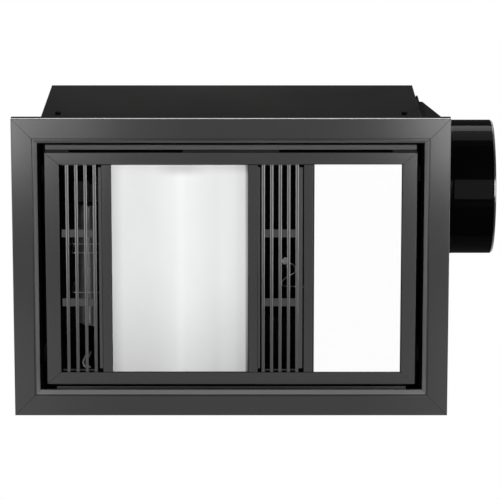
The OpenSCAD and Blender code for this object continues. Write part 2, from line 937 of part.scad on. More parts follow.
module duct_spigot() {
    rim_r = 0.6;
    color("#0e0e0e")
        difference() {
            union() {
                duct_round(collar_x, collar_len, duct_r + collar_out);
                duct_round(spigot_x - cut, spigot_len + cut - rim_r, duct_r);
                translate([duct_end - rim_r, duct_y, duct_z])
                    rotate([0, 90, 0])
                        rotate_extrude()
                            translate([duct_r - duct_wall, 0])
                                polygon([
                                    [0, -cut], [duct_wall, -cut], [duct_wall, 0],
                                    [duct_wall - rim_r, rim_r], [0, rim_r]
                                ]);
            }
            duct_round(collar_x - cut, collar_len + spigot_len + 2 * cut, duct_in_r);
        }
}

module flange_screws() {
    color("#161616")
        at_flange_screws(root_x)
            pan_screw(flange_screw_r, flange_screw_len, flange_head_r, flange_head_h);
}

module damper_rod() {
    color("#c4c6c8")
        translate([rod_x, duct_y, duct_z])
            cylinder(r = rod_r, h = 2 * rod_half, center = true);
}

// Half disc towards +Y, with one long knuckle round the lower half of the rod
module damper_blade() {
    difference() {
        union() {
            intersection() {
                duct_round(blade_x, blade_t, blade_r);
                translate([blade_x - cut, duct_y + blade_split, duct_z - blade_r])
                    cube([blade_t + 2 * cut, blade_r, 2 * blade_r]);
            }
            translate([rod_x, duct_y, duct_z - knuckle_gap - knuckle_len]) {
                cylinder(r = knuckle_r, h = knuckle_len);
                translate([blade_x + blade_t / 2 - rod_x, blade_split, 0])
                    cube([rod_x - blade_x - blade_t / 2, knuckle_r - blade_split, knuckle_len]);
            }
        }
        translate([rod_x, duct_y, duct_z])
            cylinder(r = rod_r + run_fit, h = 2 * blade_r + 2 * cut, center = true);
    }
}

// The front blade is the back one turned round the duct's axis
module damper_blade_front() {
    color("#b8babc")
        translate([0, duct_y, duct_z])
            rotate([180, 0, 0])
                translate([0, -duct_y, -duct_z])
                    damper_blade();
}

module damper_blade_back() {
    color("#b8babc") damper_blade();
}

// Points of the scroll, t inside its outer face; the outlet ends at x = end
function scroll_points(t, end) = concat(
    [for (i = [0 : scroll_steps])
        let (
            a = tongue_a + i * (270 - tongue_a) / scroll_steps,
            r = tongue_r + (scroll_r - tongue_r) * i / scroll_steps - t
        )
        [blower_x + r * cos(a), blower_y + r * sin(a)]],
    [[end, mouth_y0 + t], [end, mouth_y1 - t]],
    t > 0 ? [[blower_x + (tongue_r - t) * cos(tongue_a), mouth_y1 - t]] : []
);

module scroll_wall() {
    color("#a3a6a8")
        translate([0, 0, scroll_bottom])
            linear_extrude(scroll_top - scroll_bottom - sheet)
                difference() {
                    polygon(scroll_points(0, wall_in_x - 0.2));
                    polygon(scroll_points(scroll_wall_t, wall_in_x + cut));
                }
}

module scroll_lid() {
    color("#a3a6a8")
        translate([0, 0, scroll_top - sheet])
            difference() {
                linear_extrude(sheet)
                    polygon(scroll_points(0, wall_in_x - 0.2));
                translate([blower_x, blower_y, -cut])
                    cylinder(r = hub_r + 3, h = sheet + 2 * cut);
            }
}

// Bell mouth that guides the air into the impeller
module inlet_ring() {
    lip = 4;
    color("#a3a6a8")
        translate([blower_x, blower_y, deck_top + 0.1])
            rotate_extrude()
                polygon([
                    [inlet_r - 2, 0], [inlet_r + 12, 0], [inlet_r + 12, 1],
                    [inlet_r + 2, 1], [inlet_r - 1, lip + 1], [inlet_r - 2, lip + 1]
                ]);
}

module exhaust_impeller() {
    chord = (impeller_r - impeller_in) * 1.2;
    mid = (impeller_r + impeller_in) / 2;
    top = impeller_h - plate_t;
    color("#d0d2d3")
        translate([blower_x, blower_y, impeller_z])
            difference() {
                union() {
                    difference() {
                        cylinder(r = impeller_r, h = plate_t);
                        translate([0, 0, -cut])
                            cylinder(r = impeller_in, h = plate_t + 2 * cut);
                    }
                    translate([0, 0, top])
                        cylinder(r = impeller_r, h = plate_t);
                    translate([0, 0, impeller_h - hub_low])
                        cylinder(r = hub_r, h = hub_h);
                    for (i = [0 : impeller_blades - 1])
                        rotate([0, 0, i * 360 / impeller_blades])
                            translate([mid, 0, 0.5])
                                rotate([0, 0, 32])
                                    translate([-chord / 2, -0.5, 0])
                                        cube([chord, 1, impeller_h - 1]);
                }
                cylinder(r = shaft_r, h = impeller_h + 40);
            }
}

module exhaust_shaft() {
    color("#c4c6c8")
        translate([blower_x, blower_y, shaft_z0])
            cylinder(r = shaft_r, h = shaft_z1 - shaft_z0);
}

// Hollow motor case with a flange on the scroll's lid and a bearing seat at each end
module motor_case() {
    color("#8f9295")
        translate([blower_x, blower_y, motor_z])
            difference() {
                union() {
                    cylinder(r = motor_flange_r, h = 2.5);
                    cylinder(r = motor_r, h = motor_h);
                }
                translate([0, 0, motor_wall + bearing_h])
                    cylinder(r = motor_r - motor_wall, h = motor_h - 2 * (motor_wall + bearing_h));
                translate([0, 0, motor_wall])
                    cylinder(r = bearing_r + run_fit, h = motor_h - 2 * motor_wall);
                translate([0, 0, -cut])
                    cylinder(r = shaft_r + 2, h = motor_h + 2 * cut);
            }
}

module motor_stator() {
    color("#6f5138")
        translate([blower_x, blower_y, rotor_z])
            difference() {
                cylinder(r = motor_r - motor_wall - 2 * hair, h = rotor_h);
                translate([0, 0, -cut])
                    cylinder(r = rotor_r + rotor_gap, h = rotor_h + 2 * cut);
            }
}

module motor_rotor() {
    color("#9a9c9e")
        translate([blower_x, blower_y, rotor_z])
            difference() {
                cylinder(r = rotor_r, h = rotor_h);
                translate([0, 0, -cut])
                    cylinder(r = shaft_r, h = rotor_h + 2 * cut);
            }
}

module motor_bearings() {
    color("#c4c6c8")
        for (z = [motor_z + motor_wall + 0.1, motor_z + motor_h - motor_wall - bearing_h + 0.1])
            translate([blower_x, blower_y, z])
                difference() {
                    cylinder(r = bearing_r, h = bearing_h - 0.2);
                    translate([0, 0, -cut])
                        cylinder(r = shaft_r + run_fit, h = bearing_h + 2 * cut);
                }
}

// Cylinder on the circulation fan's axis, from y to y + len
module fan_round(y, len, r) {
    translate([wheel_x, y, wheel_z])
        rotate([-90, 0, 0])
            cylinder(r = r, h = len);
}

// End plate of the circulation fan; its flange lies under the deck, towards dir
module fan_end(y, dir, hole) {
    h = deck_z - seat - fan_low;
    difference() {
        union() {
            translate([-wall_in_x + seat, y, fan_low])
                cube([fan_edge + wall_in_x - seat, sheet, h]);
            translate([-wall_in_x + seat, dir > 0 ? y : y - bracket_w + sheet, fan_low + h - sheet])
                cube([fan_edge + wall_in_x - seat, bracket_w, sheet]);
        }
        fan_round(y - cut, sheet + 2 * cut, hole);
    }
}

module fan_end_front() {
    color("#7f8284") fan_end(fan_y0 - sheet, 1, wheel_shaft_r + 2);
}

module fan_end_back() {
    color("#7f8284") fan_end(fan_y1, -1, bush_r + run_fit);
}

// Curved casing round the back of the wheel, open to the left and below
module fan_casing() {
    far = 2 * casing_r;
    color("#1d1d1d")
        difference() {
            fan_round(fan_y0 + 2 * hair, fan_y1 - fan_y0 - 4 * hair, casing_r + casing_t);
            fan_round(fan_y0 - cut, fan_y1 - fan_y0 + 2 * cut, casing_r);
            translate([wheel_x, fan_y0 - cut, wheel_z])
                rotate([-90, 0, 0])
                    linear_extrude(fan_y1 - fan_y0 + 2 * cut)
                        polygon([
                            [0, 0], far * [-cos(casing_low), -sin(casing_low)], far * [-1, 1],
                            far * [0, 1], far * [cos(casing_high), sin(casing_high)]
                        ]);
        }
}

// Wheel of the circulation fan: discs at its ends and middle with curved blades
module fan_wheel() {
    depth = 4.5;
    color("#b4b7b9")
        difference() {
            union() {
                for (y = [wheel_y - wheel_len / 2, wheel_y - 0.75, wheel_y + wheel_len / 2 - 1.5])
                    fan_round(y, 1.5, wheel_r);
                fan_round(wheel_y - wheel_len / 2, 10, wheel_shaft_r + 3);
                fan_round(wheel_y + wheel_len / 2 - 10, 10, wheel_shaft_r + 3);
                for (i = [0 : wheel_blades - 1])
                    translate([wheel_x, wheel_y - wheel_len / 2 + 0.5, wheel_z])
                        rotate([-90, i * 360 / wheel_blades, 0])
                            translate([wheel_r - depth, 0, 0])
                                rotate([0, 0, 28])
                                    cube([depth, 0.8, wheel_len - 1]);
            }
            fan_round(wheel_y - wheel_len / 2 - cut, wheel_len + 2 * cut, wheel_shaft_r);
        }
}

module fan_shaft() {
    y0 = fan_y0 - sheet - fan_motor_len - 2;
    color("#c4c6c8") fan_round(y0, fan_y1 + sheet + 4 - y0, wheel_shaft_r);
}

// Shaded pole motor: a stack of laminations with its coil at one side
module fan_motor() {
    y = fan_y0 - sheet - seat - fan_motor_len;
    color("#77797b")
        difference() {
            union() {
                translate([wheel_x - fan_motor_w / 2, y + 4, wheel_z - fan_motor_h / 2])
                    cube([fan_motor_w, fan_motor_len - 4, fan_motor_h]);
                translate([wheel_x - fan_motor_w / 2 + 3, y, wheel_z - fan_motor_h / 2 - 3])
                    cube([14, fan_motor_len - 2, fan_motor_h + 6]);
                fan_round(y, fan_motor_len, 9);
            }
            fan_round(y - cut, fan_motor_len + 2 * cut, wheel_shaft_r + run_fit);
        }
}

module fan_bearing() {
    color("#b58b3c")
        difference() {
            union() {
                fan_round(fan_y1 - 1.5, 5, bush_r);
                fan_round(fan_y1 + sheet + 0.1, 2, bush_r + 2);
            }
            fan_round(fan_y1 - 4, 12, wheel_shaft_r + run_fit);
        }
}

// Bright trough behind the heater window, closed at its ends
module reflector() {
    t = reflector_t;
    color("#d9dbdd")
        difference() {
            translate([heater_x, -reflector_len / 2, reflector_z])
                rotate([90, 0, 0])
                    mirror([0, 0, 1])
                        linear_extrude(reflector_len)
                            polygon([
                                [-reflector_mouth / 2, 0], [reflector_mouth / 2, 0],
                                [reflector_back / 2, reflector_h],
                                [-reflector_back / 2, reflector_h]
                            ]);
            translate([heater_x, -reflector_len / 2 + t, reflector_z])
                rotate([90, 0, 0])
                    mirror([0, 0, 1])
                        linear_extrude(reflector_len - 2 * t)
                            polygon([
                                [-reflector_mouth / 2 + t, -cut], [reflector_mouth / 2 - t, -cut],
                                [reflector_mouth / 2 - t, 0],
                                [reflector_back / 2 - t, reflector_h - t],
                                [-reflector_back / 2 + t, reflector_h - t],
                                [-reflector_mouth / 2 + t, 0]
                            ]);
            for (s = [-1, 1])
                translate([heater_x + s * lamp_pitch / 2, 0, lamp_z])
                    rotate([90, 0, 0])
                        cylinder(r = cap_r + 0.5, h = reflector_len + 2 * cut, center = true);
        }
}

// Four short studs hang the reflector under the deck
module reflector_hangers() {
    color("#8d9093")
        for (sx = [-1, 1], sy = [-1, 1])
            translate([
                heater_x + sx * (reflector_back / 2 - 10),
                sy * (reflector_len / 2 - 20),
                reflector_top + 0.1
            ])
                cylinder(r = hanger_r, h = hanger_h - 0.2);
}

module heat_lamps() {
    color("#f2e6d8")
        for (s = [-1, 1])
            translate([heater_x + s * lamp_pitch / 2, -lamp_half, lamp_z])
                rotate([-90, 0, 0])
                    difference() {
                        cylinder(r = lamp_r, h = 2 * lamp_half);
                        translate([0, 0, -cut])
                            cylinder(r = lamp_r - 1, h = 2 * lamp_half + 2 * cut);
                    }
}

// Ceramic caps: a deep socket over each end of the two lamps
module lamp_caps() {
    grip = 8;
    color("#efece4")
        for (sx = [-1, 1], sy = [0, 1])
            mirror([0, sy, 0])
                translate([heater_x + sx * lamp_pitch / 2, lamp_half - grip, lamp_z])
                    rotate([-90, 0, 0])
                        difference() {
                            cylinder(r = cap_r, h = cap_len);
                            translate([0, 0, -cut])
                                cylinder(r = lamp_r + run_fit, h = grip + cut + 0.1);
                        }
}

// Two hanging plates carry the lamp caps and reach up to the deck
module lamp_holders() {
    y = reflector_len / 2 + 1;
    w = lamp_pitch + 2 * cap_r + 12;
    low = lamp_z - cap_r - 5;
    h = deck_z - seat - low;
    color("#8d9093")
        for (s = [0, 1])
            mirror([0, s, 0])
                difference() {
                    union() {
                        translate([heater_x - w / 2, y, low])
                            cube([w, sheet, h]);
                        translate([heater_x - w / 2, y, low + h - sheet])
                            cube([w, bracket_w, sheet]);
                    }
                    for (sx = [-1, 1])
                        translate([heater_x + sx * lamp_pitch / 2, y - cut, lamp_z])
                            rotate([-90, 0, 0])
                                cylinder(r = cap_r + run_fit, h = sheet + 2 * cut);
                }
}

// Terminal box with the gland for the supply cable in its -X wall
module terminal_box() {
    color("#1b1b1b")
        difference() {
            union() {
                translate([box_x - box_w / 2, box_y - box_d / 2, box_z])
                    cube([box_w, box_d, box_h]);
                translate([box_x - box_w / 2 - gland_len, box_y, gland_z])
                    rotate([0, 90, 0])
                        cylinder(r = cable_r + gland_wall, h = gland_len + box_wall + 1);
            }
            translate([box_x - box_w / 2 + box_wall, box_y - box_d / 2 + box_wall, box_z + box_wall])
                cube([box_w - 2 * box_wall, box_d - 2 * box_wall, box_h]);
            translate([box_x - box_w / 2 - gland_len - cut, box_y, gland_z])
                rotate([0, 90, 0])
                    cylinder(r = cable_r, h = gland_len + box_wall + 3 * cut);
            translate([box_x, box_y, box_z - cut])
                cylinder(r = wire_hole_r, h = box_wall + 2 * cut);
        }
}

module terminal_lid() {
    in = box_wall + 2 * hair;
    color("#1b1b1b") {
        translate([box_x - box_w / 2, box_y - box_d / 2, box_z + box_h + hair])
            cube([box_w, box_d, lid_t]);
        translate([box_x - box_w / 2 + in, box_y - box_d / 2 + in, box_z + box_h - lid_lip])
            cube([box_w - 2 * in, box_d - 2 * in, lid_lip + 2 * hair]);
    }
}

trim_rail_front();
trim_rail_back();
trim_rail_left();
trim_rail_right();
trim_corner_keys();
trim_screws();
bezel_rail_front();
bezel_rail_back();
bezel_rail_left();
bezel_rail_right();
mullion_left();
mullion_middle();
mullion_right();
grille_left();
grille_right();
heater_glass();
glass_gasket();
glass_clips();
light_diffuser();
light_tray();
light_board();
light_driver();
panel_posts();
latch_blocks();
housing_wrap();
housing_end_left();
housing_end_right();
housing_screws();
deck_plate();
duct_gasket();
duct_flange();
duct_adaptor();
duct_spigot();
flange_screws();
damper_rod();
damper_blade_front();
damper_blade_back();
inlet_ring();
scroll_wall();
scroll_lid();
exhaust_impeller();
exhaust_shaft();
motor_case();
motor_stator();
motor_rotor();
motor_bearings();
fan_end_front();
fan_end_back();
fan_casing();
fan_wheel();
fan_shaft();
fan_motor();
fan_bearing();
reflector();
reflector_hangers();
heat_lamps();
lamp_caps();
lamp_holders();
terminal_box();
terminal_lid();
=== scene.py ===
# %% [markdown]
# # A ceiling heater, light and exhaust fan
# The unit hangs in a bathroom ceiling and is seen from below. Its CAD model is loaded as a fixed
# frame, in metres, and this script gives each piece its edges, its fastenings and its finish.

# %% The frame
import json
import math
import bmesh
import bpy
from mathutils import Matrix, Vector

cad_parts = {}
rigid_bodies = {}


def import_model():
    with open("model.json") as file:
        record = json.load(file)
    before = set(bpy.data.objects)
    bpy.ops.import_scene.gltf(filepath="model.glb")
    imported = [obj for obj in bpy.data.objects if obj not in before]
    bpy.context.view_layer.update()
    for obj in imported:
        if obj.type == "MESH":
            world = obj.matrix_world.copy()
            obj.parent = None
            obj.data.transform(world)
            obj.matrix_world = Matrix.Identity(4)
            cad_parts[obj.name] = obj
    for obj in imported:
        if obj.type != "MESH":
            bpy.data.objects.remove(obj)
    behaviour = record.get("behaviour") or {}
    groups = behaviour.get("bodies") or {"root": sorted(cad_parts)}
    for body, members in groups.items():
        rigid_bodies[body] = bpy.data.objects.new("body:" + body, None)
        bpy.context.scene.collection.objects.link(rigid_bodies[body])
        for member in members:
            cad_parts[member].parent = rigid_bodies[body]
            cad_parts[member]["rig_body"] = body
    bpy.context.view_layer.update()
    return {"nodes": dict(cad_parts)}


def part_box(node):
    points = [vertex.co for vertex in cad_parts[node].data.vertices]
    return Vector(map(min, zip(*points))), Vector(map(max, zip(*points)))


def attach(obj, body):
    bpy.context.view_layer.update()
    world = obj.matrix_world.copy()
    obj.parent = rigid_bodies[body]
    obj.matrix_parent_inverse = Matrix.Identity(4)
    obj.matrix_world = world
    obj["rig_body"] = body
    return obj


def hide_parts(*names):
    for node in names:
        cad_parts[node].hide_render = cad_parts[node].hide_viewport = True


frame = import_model()
nodes = frame["nodes"]
MM = 0.001


def in_mm(vector):
    return [round(v / MM, 1) for v in vector]


# %% [markdown]
# ## The camera
# The photograph looks up at the face of the unit from a little to its front, through a long lens,
# so that the back of the housing and the duct show only as a band above and at the right.
# The camera could be aimed with a Track To constraint. Its matrix is written here instead,
# because the tilt was measured once and then nothing can turn it.

# %% Camera at the photograph's viewpoint
CAMERA_TILT = math.radians(12.7)
CAMERA_PLACE = Vector((0.0205, -0.7773, -3.3707))
LENS, SENSOR_WIDTH, FARTHEST = 230.4, 36, 60


def linked(name, data):
    """A new object, placed in the scene."""
    item = bpy.data.objects.new(name, data)
    bpy.context.scene.collection.objects.link(item)
    return item


def facing(place, side, back):
    """The matrix of an object at a place, with its X along side and its Z along back."""
    turn = Matrix((side, back.cross(side), back)).transposed().to_4x4()
    return Matrix.Translation(place) @ turn


camera_data = bpy.data.cameras.new("camera")
camera_data.lens, camera_data.sensor_width, camera_data.clip_end = LENS, SENSOR_WIDTH, FARTHEST
camera = linked("camera", camera_data)
ahead = Vector((0, math.sin(CAMERA_TILT), math.cos(CAMERA_TILT)))
camera.matrix_world = facing(CAMERA_PLACE, Vector((1, 0, 0)), -ahead)
bpy.context.scene.camera = camera
bpy.context.scene.view_settings.view_transform = "Standard"
print("camera looks along", [round(v, 3) for v in ahead])

# %% [markdown]
# ## Helpers for finishes
# Every finish on this unit is a dense, even industrial one: powder coat, satin paint, bare zinc or
# moulded plastic. Up close none is quite even. The colour drifts a little, the gloss changes from
# place to place, and the surface has a fine relief. One helper makes such a finish from two noise
# patterns on Object coordinates, so that the pattern stays on the piece in any view. Values that
# are the same all over are set on the shader itself.

# %% Finish helpers
PLAIN = (1.0, 1.0, 1.0)
FINE_DETAIL, FINE_ROUGHNESS = 4.0, 0.6
DRIFT_SCALE, DRIFT_DETAIL, DRIFT_SHARE = 9.0, 2.0, 0.45
materials = {}


def grey(value, tint=PLAIN):
    """Linear colour of a display grey from 0 to 255, with a slight tint."""
    v = value / 255
    linear = v / 12.92 if v <= 0.04045 else ((v + 0.055) / 1.055) ** 2.4
    return (*(linear * share for share in tint), 1)


def new_material(name):
    """A new material, kept under its name; gives its tree and its shader."""
    material = materials[name] = bpy.data.materials.new(name)
    material.use_nodes = True
    return material.node_tree, material.node_tree.nodes["Principled BSDF"]


def plug(tree, socket, value):
    """Gives an input its value, or links it where the value is another node's output."""
    if isinstance(value, bpy.types.NodeSocket):
        tree.links.new(value, socket)
    else:
        socket.default_value = value


def feed(tree, node, **settings):
    """Gives a node its settings, each under the name of a property or of an input."""
    for key, value in settings.items():
        if hasattr(node, key):
            setattr(node, key, value)
        else:
            plug(tree, node.inputs[key.replace("_", " ")], value)
    return node


def add(tree, kind, **settings):
    return feed(tree, tree.nodes.new(kind), **settings)


def math_node(tree, operation, *values):
    node = add(tree, "ShaderNodeMath", operation=operation)
    for socket, value in zip(node.inputs, values):
        plug(tree, socket, value)
    return node.outputs[0]


def mixed(tree, kind, factor, a, b, mode="MIX"):
    """Two values mixed; FLOAT and RGBA have their inputs at different places of one node."""
    node = add(tree, "ShaderNodeMix", data_type=kind, blend_type=mode)
    first, result = {"FLOAT": (2, 0), "RGBA": (6, 2)}[kind]
    for index, value in ((0, factor), (first, a), (first + 1, b)):
        plug(tree, node.inputs[index], value)
    return node.outputs[result]


def object_space(tree, stretch=PLAIN):
    place = add(tree, "ShaderNodeTexCoord").outputs["Object"]
    return add(tree, "ShaderNodeMapping", Scale=stretch, Vector=place).outputs["Vector"]


def noise(tree, scale, detail=3.0, roughness=0.5, stretch=PLAIN):
    return add(tree, "ShaderNodeTexNoise", Scale=scale, Detail=detail, Roughness=roughness,
               Vector=object_space(tree, stretch)).outputs["Fac"]


def ramp(tree, factor, low, high, start=0.35, end=0.65):
    node = add(tree, "ShaderNodeValToRGB", Fac=factor)
    for element, place, colour in zip(node.color_ramp.elements, (start, end), (low, high)):
        element.position, element.color = place, colour
    return node.outputs["Color"]


def remap(tree, value, low, high, start=0.3, end=0.7, shape="LINEAR"):
    return add(tree, "ShaderNodeMapRange", interpolation_type=shape, Value=value, From_Min=start,
               From_Max=end, To_Min=low, To_Max=high).outputs["Result"]


def relief(tree, shader, height, depth, strength=0.4):
    """Bump from a pattern, with its depth in mm."""
    bump = add(tree, "ShaderNodeBump", Strength=strength, Distance=depth * MM, Height=height)
    feed(tree, shader, Normal=bump.outputs["Normal"])


def finish(name, low, high, grain, rough, depth, tint=PLAIN, high_tint=None, metal=0.0,
           stretch=PLAIN, specular=0.3, coat=0.0, coat_rough=0.2, strength=0.4):
    """An industrial finish: its display greys low and high, the scale of its grain, the range of
    its roughness and its relief in mm."""
    tree, shader = new_material(name)
    fine = noise(tree, grain, FINE_DETAIL, FINE_ROUGHNESS, stretch)
    broad = noise(tree, DRIFT_SCALE, DRIFT_DETAIL)
    tone = mixed(tree, "FLOAT", DRIFT_SHARE, fine, broad)
    feed(tree, shader, Roughness=remap(tree, broad, *rough), Metallic=metal,
         Specular_IOR_Level=specular, Coat_Weight=coat, Coat_Roughness=coat_rough,
         Base_Color=ramp(tree, tone, grey(low, tint), grey(high, high_tint or tint)))
    relief(tree, shader, fine, depth, strength)


print("finish helpers ready")

# %% [markdown]
# ## Satin paint of the trim frame and the floating panel
# The frame and the panel are aluminium extrusions with a dark grey satin paint that has a little
# metal flake in it. A photograph of the paint would give one lighting only. Noise gives the flake
# at its real size, under half a millimetre, and a clear coat gives the soft sheen that lies
# along the corners. The bars of the grilles are the same paint on sheet steel, slightly duller.
# The bevel inside the frame is cut brighter. The edge of the panel's rim gets a painted highlight,
# and the gap gets painted shade.

# %% Satin paints
COOL = (0.99, 1.0, 1.01)
finish("trim_finish", 31, 37, 2600, (0.4, 0.48), 0.03, COOL, specular=0.04, coat=1.0,
       coat_rough=0.12)
finish("panel_finish", 37, 43, 2600, (0.42, 0.5), 0.03, COOL, specular=0.04, coat=0.9,
       coat_rough=0.13)
finish("grille_finish", 53, 62, 2200, (0.38, 0.48), 0.03, specular=0.05, coat=0.8,
       coat_rough=0.16)
finish("bevel_cut", 118, 128, 1800, (0.34, 0.42), 0.02, specular=0.2, coat=0.3)
# The next three paint light and shade: a near black for the gap, a lighter grey as a painted
# highlight on the panel's rim, and a dark grey as painted shade on the panel's side walls.
finish("shadow_gap", 5, 9, 1600, (0.6, 0.7), 0.03, specular=0.0)
finish("rim_painted_highlight", 106, 116, 1600, (0.45, 0.55), 0.03, specular=0.1, coat=0.3)
finish("panel_side_shade", 45, 51, 1600, (0.5, 0.6), 0.03, specular=0.0, coat=0.1)
print("paints:", len(materials))

# %% [markdown]
# ## Black housing, duct and small plastics
# The housing is folded sheet steel with a black powder coat, which has a fine orange-peel relief
# and hardly any gloss. The duct outlet is moulded in a smooth glossy black plastic. Its gloss is a
# weak clear coat on a dull base, because a full-strength gloss would turn white at its edges.

# %% Blacks
finish("housing_black", 22, 28, 900, (0.6, 0.72), 0.06, (1.0, 0.99, 0.97), specular=0.0,
       coat=0.015, coat_rough=0.4)
finish("duct_black", 2, 4, 260, (0.45, 0.55), 0.03, specular=0.0, coat=0.032, coat_rough=0.08,
       strength=0.1)
# A lighter, glossier copy of the duct's black for its lip: its lighter grey is a painted highlight,
# its gloss is real.
finish("duct_lip_highlight", 24, 32, 260, (0.3, 0.4), 0.03, specular=0.1, coat=1.0, coat_rough=0.12)
# Near black, darker than the plastic needs: it also gives painted shade to galvanised parts deep in
# the housing.
finish("black_plastic", 6, 11, 1400, (0.5, 0.62), 0.05, specular=0.0, coat=0.03, coat_rough=0.3)
finish("nylon", 8, 14, 700, (0.42, 0.55), 0.04, specular=0.1)
finish("black_screws", 4, 9, 1200, (0.3, 0.45), 0.03, specular=0.0, coat=0.04, coat_rough=0.1)
print("paints and blacks:", len(materials))

# %% [markdown]
# ## Metals inside and behind
# The hidden metalwork is bare or plated sheet: zinc with its spangle, brushed aluminium, drawn
# shafts and a polished reflector. A brushed metal is noise that is stretched along the brushing,
# so its lines come out long and thin. The last four finishes have a pattern of their own: cells
# for zinc crystals and for the pores of foam, and waves for the edges of stacked sheets and for
# the turns of a winding.

# %% Metals and patterned finishes
finish("zinc_screws", 150, 188, 1600, (0.25, 0.42), 0.03, metal=0.9)
finish("bright_steel", 165, 198, 700, (0.18, 0.3), 0.02, metal=1.0, stretch=(1, 1, 0.06))
finish("aluminium", 92, 134, 900, (0.35, 0.5), 0.02, metal=0.6, stretch=(1, 0.05, 1))
finish("motor_steel", 120, 150, 500, (0.35, 0.5), 0.04, metal=0.8, stretch=(1, 1, 0.2))
finish("bright_reflector", 205, 225, 300, (0.12, 0.22), 0.03, metal=1.0, stretch=(1, 0.05, 1))
finish("bearing_bronze", 176, 200, 1800, (0.35, 0.5), 0.06, (1.0, 0.72, 0.36),
       (1.0, 0.76, 0.42), metal=0.9)
finish("white_metal", 205, 216, 1500, (0.45, 0.6), 0.04, specular=0.35)
finish("driver_white", 208, 220, 1100, (0.42, 0.55), 0.04, (1.0, 1.0, 0.98), specular=0.35)
finish("porcelain", 226, 238, 500, (0.2, 0.34), 0.03, (1.0, 0.99, 0.95), (1.0, 0.99, 0.96),
       specular=0.5)
finish("silicone", 192, 206, 600, (0.5, 0.65), 0.04, specular=0.35)


def galvanised_finish():
    """Hot-dipped zinc: flat crystals a few millimetres across, each a little lighter or darker."""
    tree, shader = new_material("galvanised")
    cells = add(tree, "ShaderNodeTexVoronoi", Scale=240, Vector=object_space(tree))
    split = add(tree, "ShaderNodeSeparateColor", Color=cells.outputs["Color"]).outputs
    feed(tree, shader, Base_Color=ramp(tree, split["Red"], grey(128), grey(164), 0.0, 1.0),
         Roughness=remap(tree, split["Green"], 0.35, 0.55, 0.0, 1.0), Metallic=0.85)
    relief(tree, shader, noise(tree, 500), 0.02)


def patterned(name, kind, output, low, high, spread, rough, depth, strength, shading, **settings):
    """A finish whose colour, gloss and relief all follow one texture; spread is where on the
    pattern the colours low and high lie."""
    tree, shader = new_material(name)
    pattern = add(tree, kind, Vector=object_space(tree), **settings).outputs[output]
    feed(tree, shader, Base_Color=ramp(tree, pattern, low, high, *spread),
         Roughness=remap(tree, pattern, *rough, 0.0, 1.0), **shading)
    relief(tree, shader, pattern, depth, strength)


galvanised_finish()
patterned("laminations", "ShaderNodeTexWave", "Fac", grey(10), grey(20), (0.2, 0.8), (0.45, 0.6),
          0.1, 0.4, {"Metallic": 0.3, "Specular_IOR_Level": 0.2}, bands_direction="Y", Scale=500,
          Distortion=0.4)
patterned("winding", "ShaderNodeTexWave", "Fac", grey(92, (1.0, 0.5, 0.24)),
          grey(156, (1.0, 0.55, 0.28)), (0.15, 0.85), (0.28, 0.45), 0.3, 0.6, {"Metallic": 0.7},
          bands_direction="Z", Scale=420, Distortion=0.8)
patterned("foam", "ShaderNodeTexVoronoi", "Distance", grey(14), grey(38), (0.1, 0.6), (0.8, 0.95),
          0.2, 0.6, {"Specular_IOR_Level": 0.1}, Scale=1300)
print("finishes so far:", len(materials))

# %% [markdown]
# ## The heater's window
# The window is thick glass with a fine frosted face. What is behind it shows only as soft upright
# bands of light and shade: the bright reflector glows widest beside the lamp, the edges and the
# lower end are dimmer, and a faint dark arch shows at the top. Real light through rough glass
# needs very many samples to look clean, so this light and shade is painted into the glass's colour
# on Object coordinates, each band as a smooth distance from its own middle. They stay in place in
# every view, as the parts behind the real glass nearly do.

# %% Frosted window
glass_low, glass_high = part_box("heater_glass")
glass_mid = (glass_low + glass_high) / 2
glass_size = glass_high - glass_low
half_w, half_d = glass_size.x / 2, glass_size.y / 2
# Painted light: upright bands of the reflector's glow in x, each a middle, half width and gain
PAINTED_GLOW_BANDS = [(3 * MM, 42 * MM, 0.115), (0.5 * MM, 8 * MM, 0.04), (47 * MM, 10 * MM, 0.03)]
# Painted shade at the edges in x: gain at the first place, gain at the second, and the two places
PAINTED_EDGE_SHADE = [(-0.2, 0.0, -half_w, 14 * MM - half_w),
                (0.0, -0.12, half_w - 18 * MM, half_w - 5 * MM),
                (0.0, -0.5, half_w - 4 * MM, half_w - 1.5 * MM)]
# Painted shade that grows towards the lower end: its power and its gain
LOW_END_SHADE_POWER, LOW_END_SHADE_GAIN = 1.9, -0.28
# The painted dark arch at the top: its middle, in from the upper edge and aside, then its half
# height and width
ARCH_IN, ARCH_ASIDE, ARCH_HALF_HEIGHT, ARCH_HALF_WIDTH = 4 * MM, 2 * MM, 11 * MM, 34 * MM
ARCH_SHADE_GAIN = -0.26
# The upper end gets painted shade from left to right, from one gain to the other, and less further
# in
TOP_SHADE_GAINS, TOP_FADE = (-0.02, -0.2), (2 * MM, 12 * MM)
CLOUD_SCALE, CLOUD_GAIN = 26, 0.02


def centred(tree, middle):
    """The x, y and z of a point, measured from a middle in metres."""
    place = add(tree, "ShaderNodeTexCoord").outputs["Object"]
    moved = add(tree, "ShaderNodeMapping", Location=-Vector(middle), Vector=place)
    return add(tree, "ShaderNodeSeparateXYZ", Vector=moved.outputs["Vector"]).outputs


def band(tree, across, middle, half, gain):
    """Gain at the middle of a soft band that fades to nothing half a width away."""
    distance = math_node(tree, "ABSOLUTE", math_node(tree, "SUBTRACT", across, middle))
    return remap(tree, distance, gain, 0.0, 0.0, half, "SMOOTHSTEP")


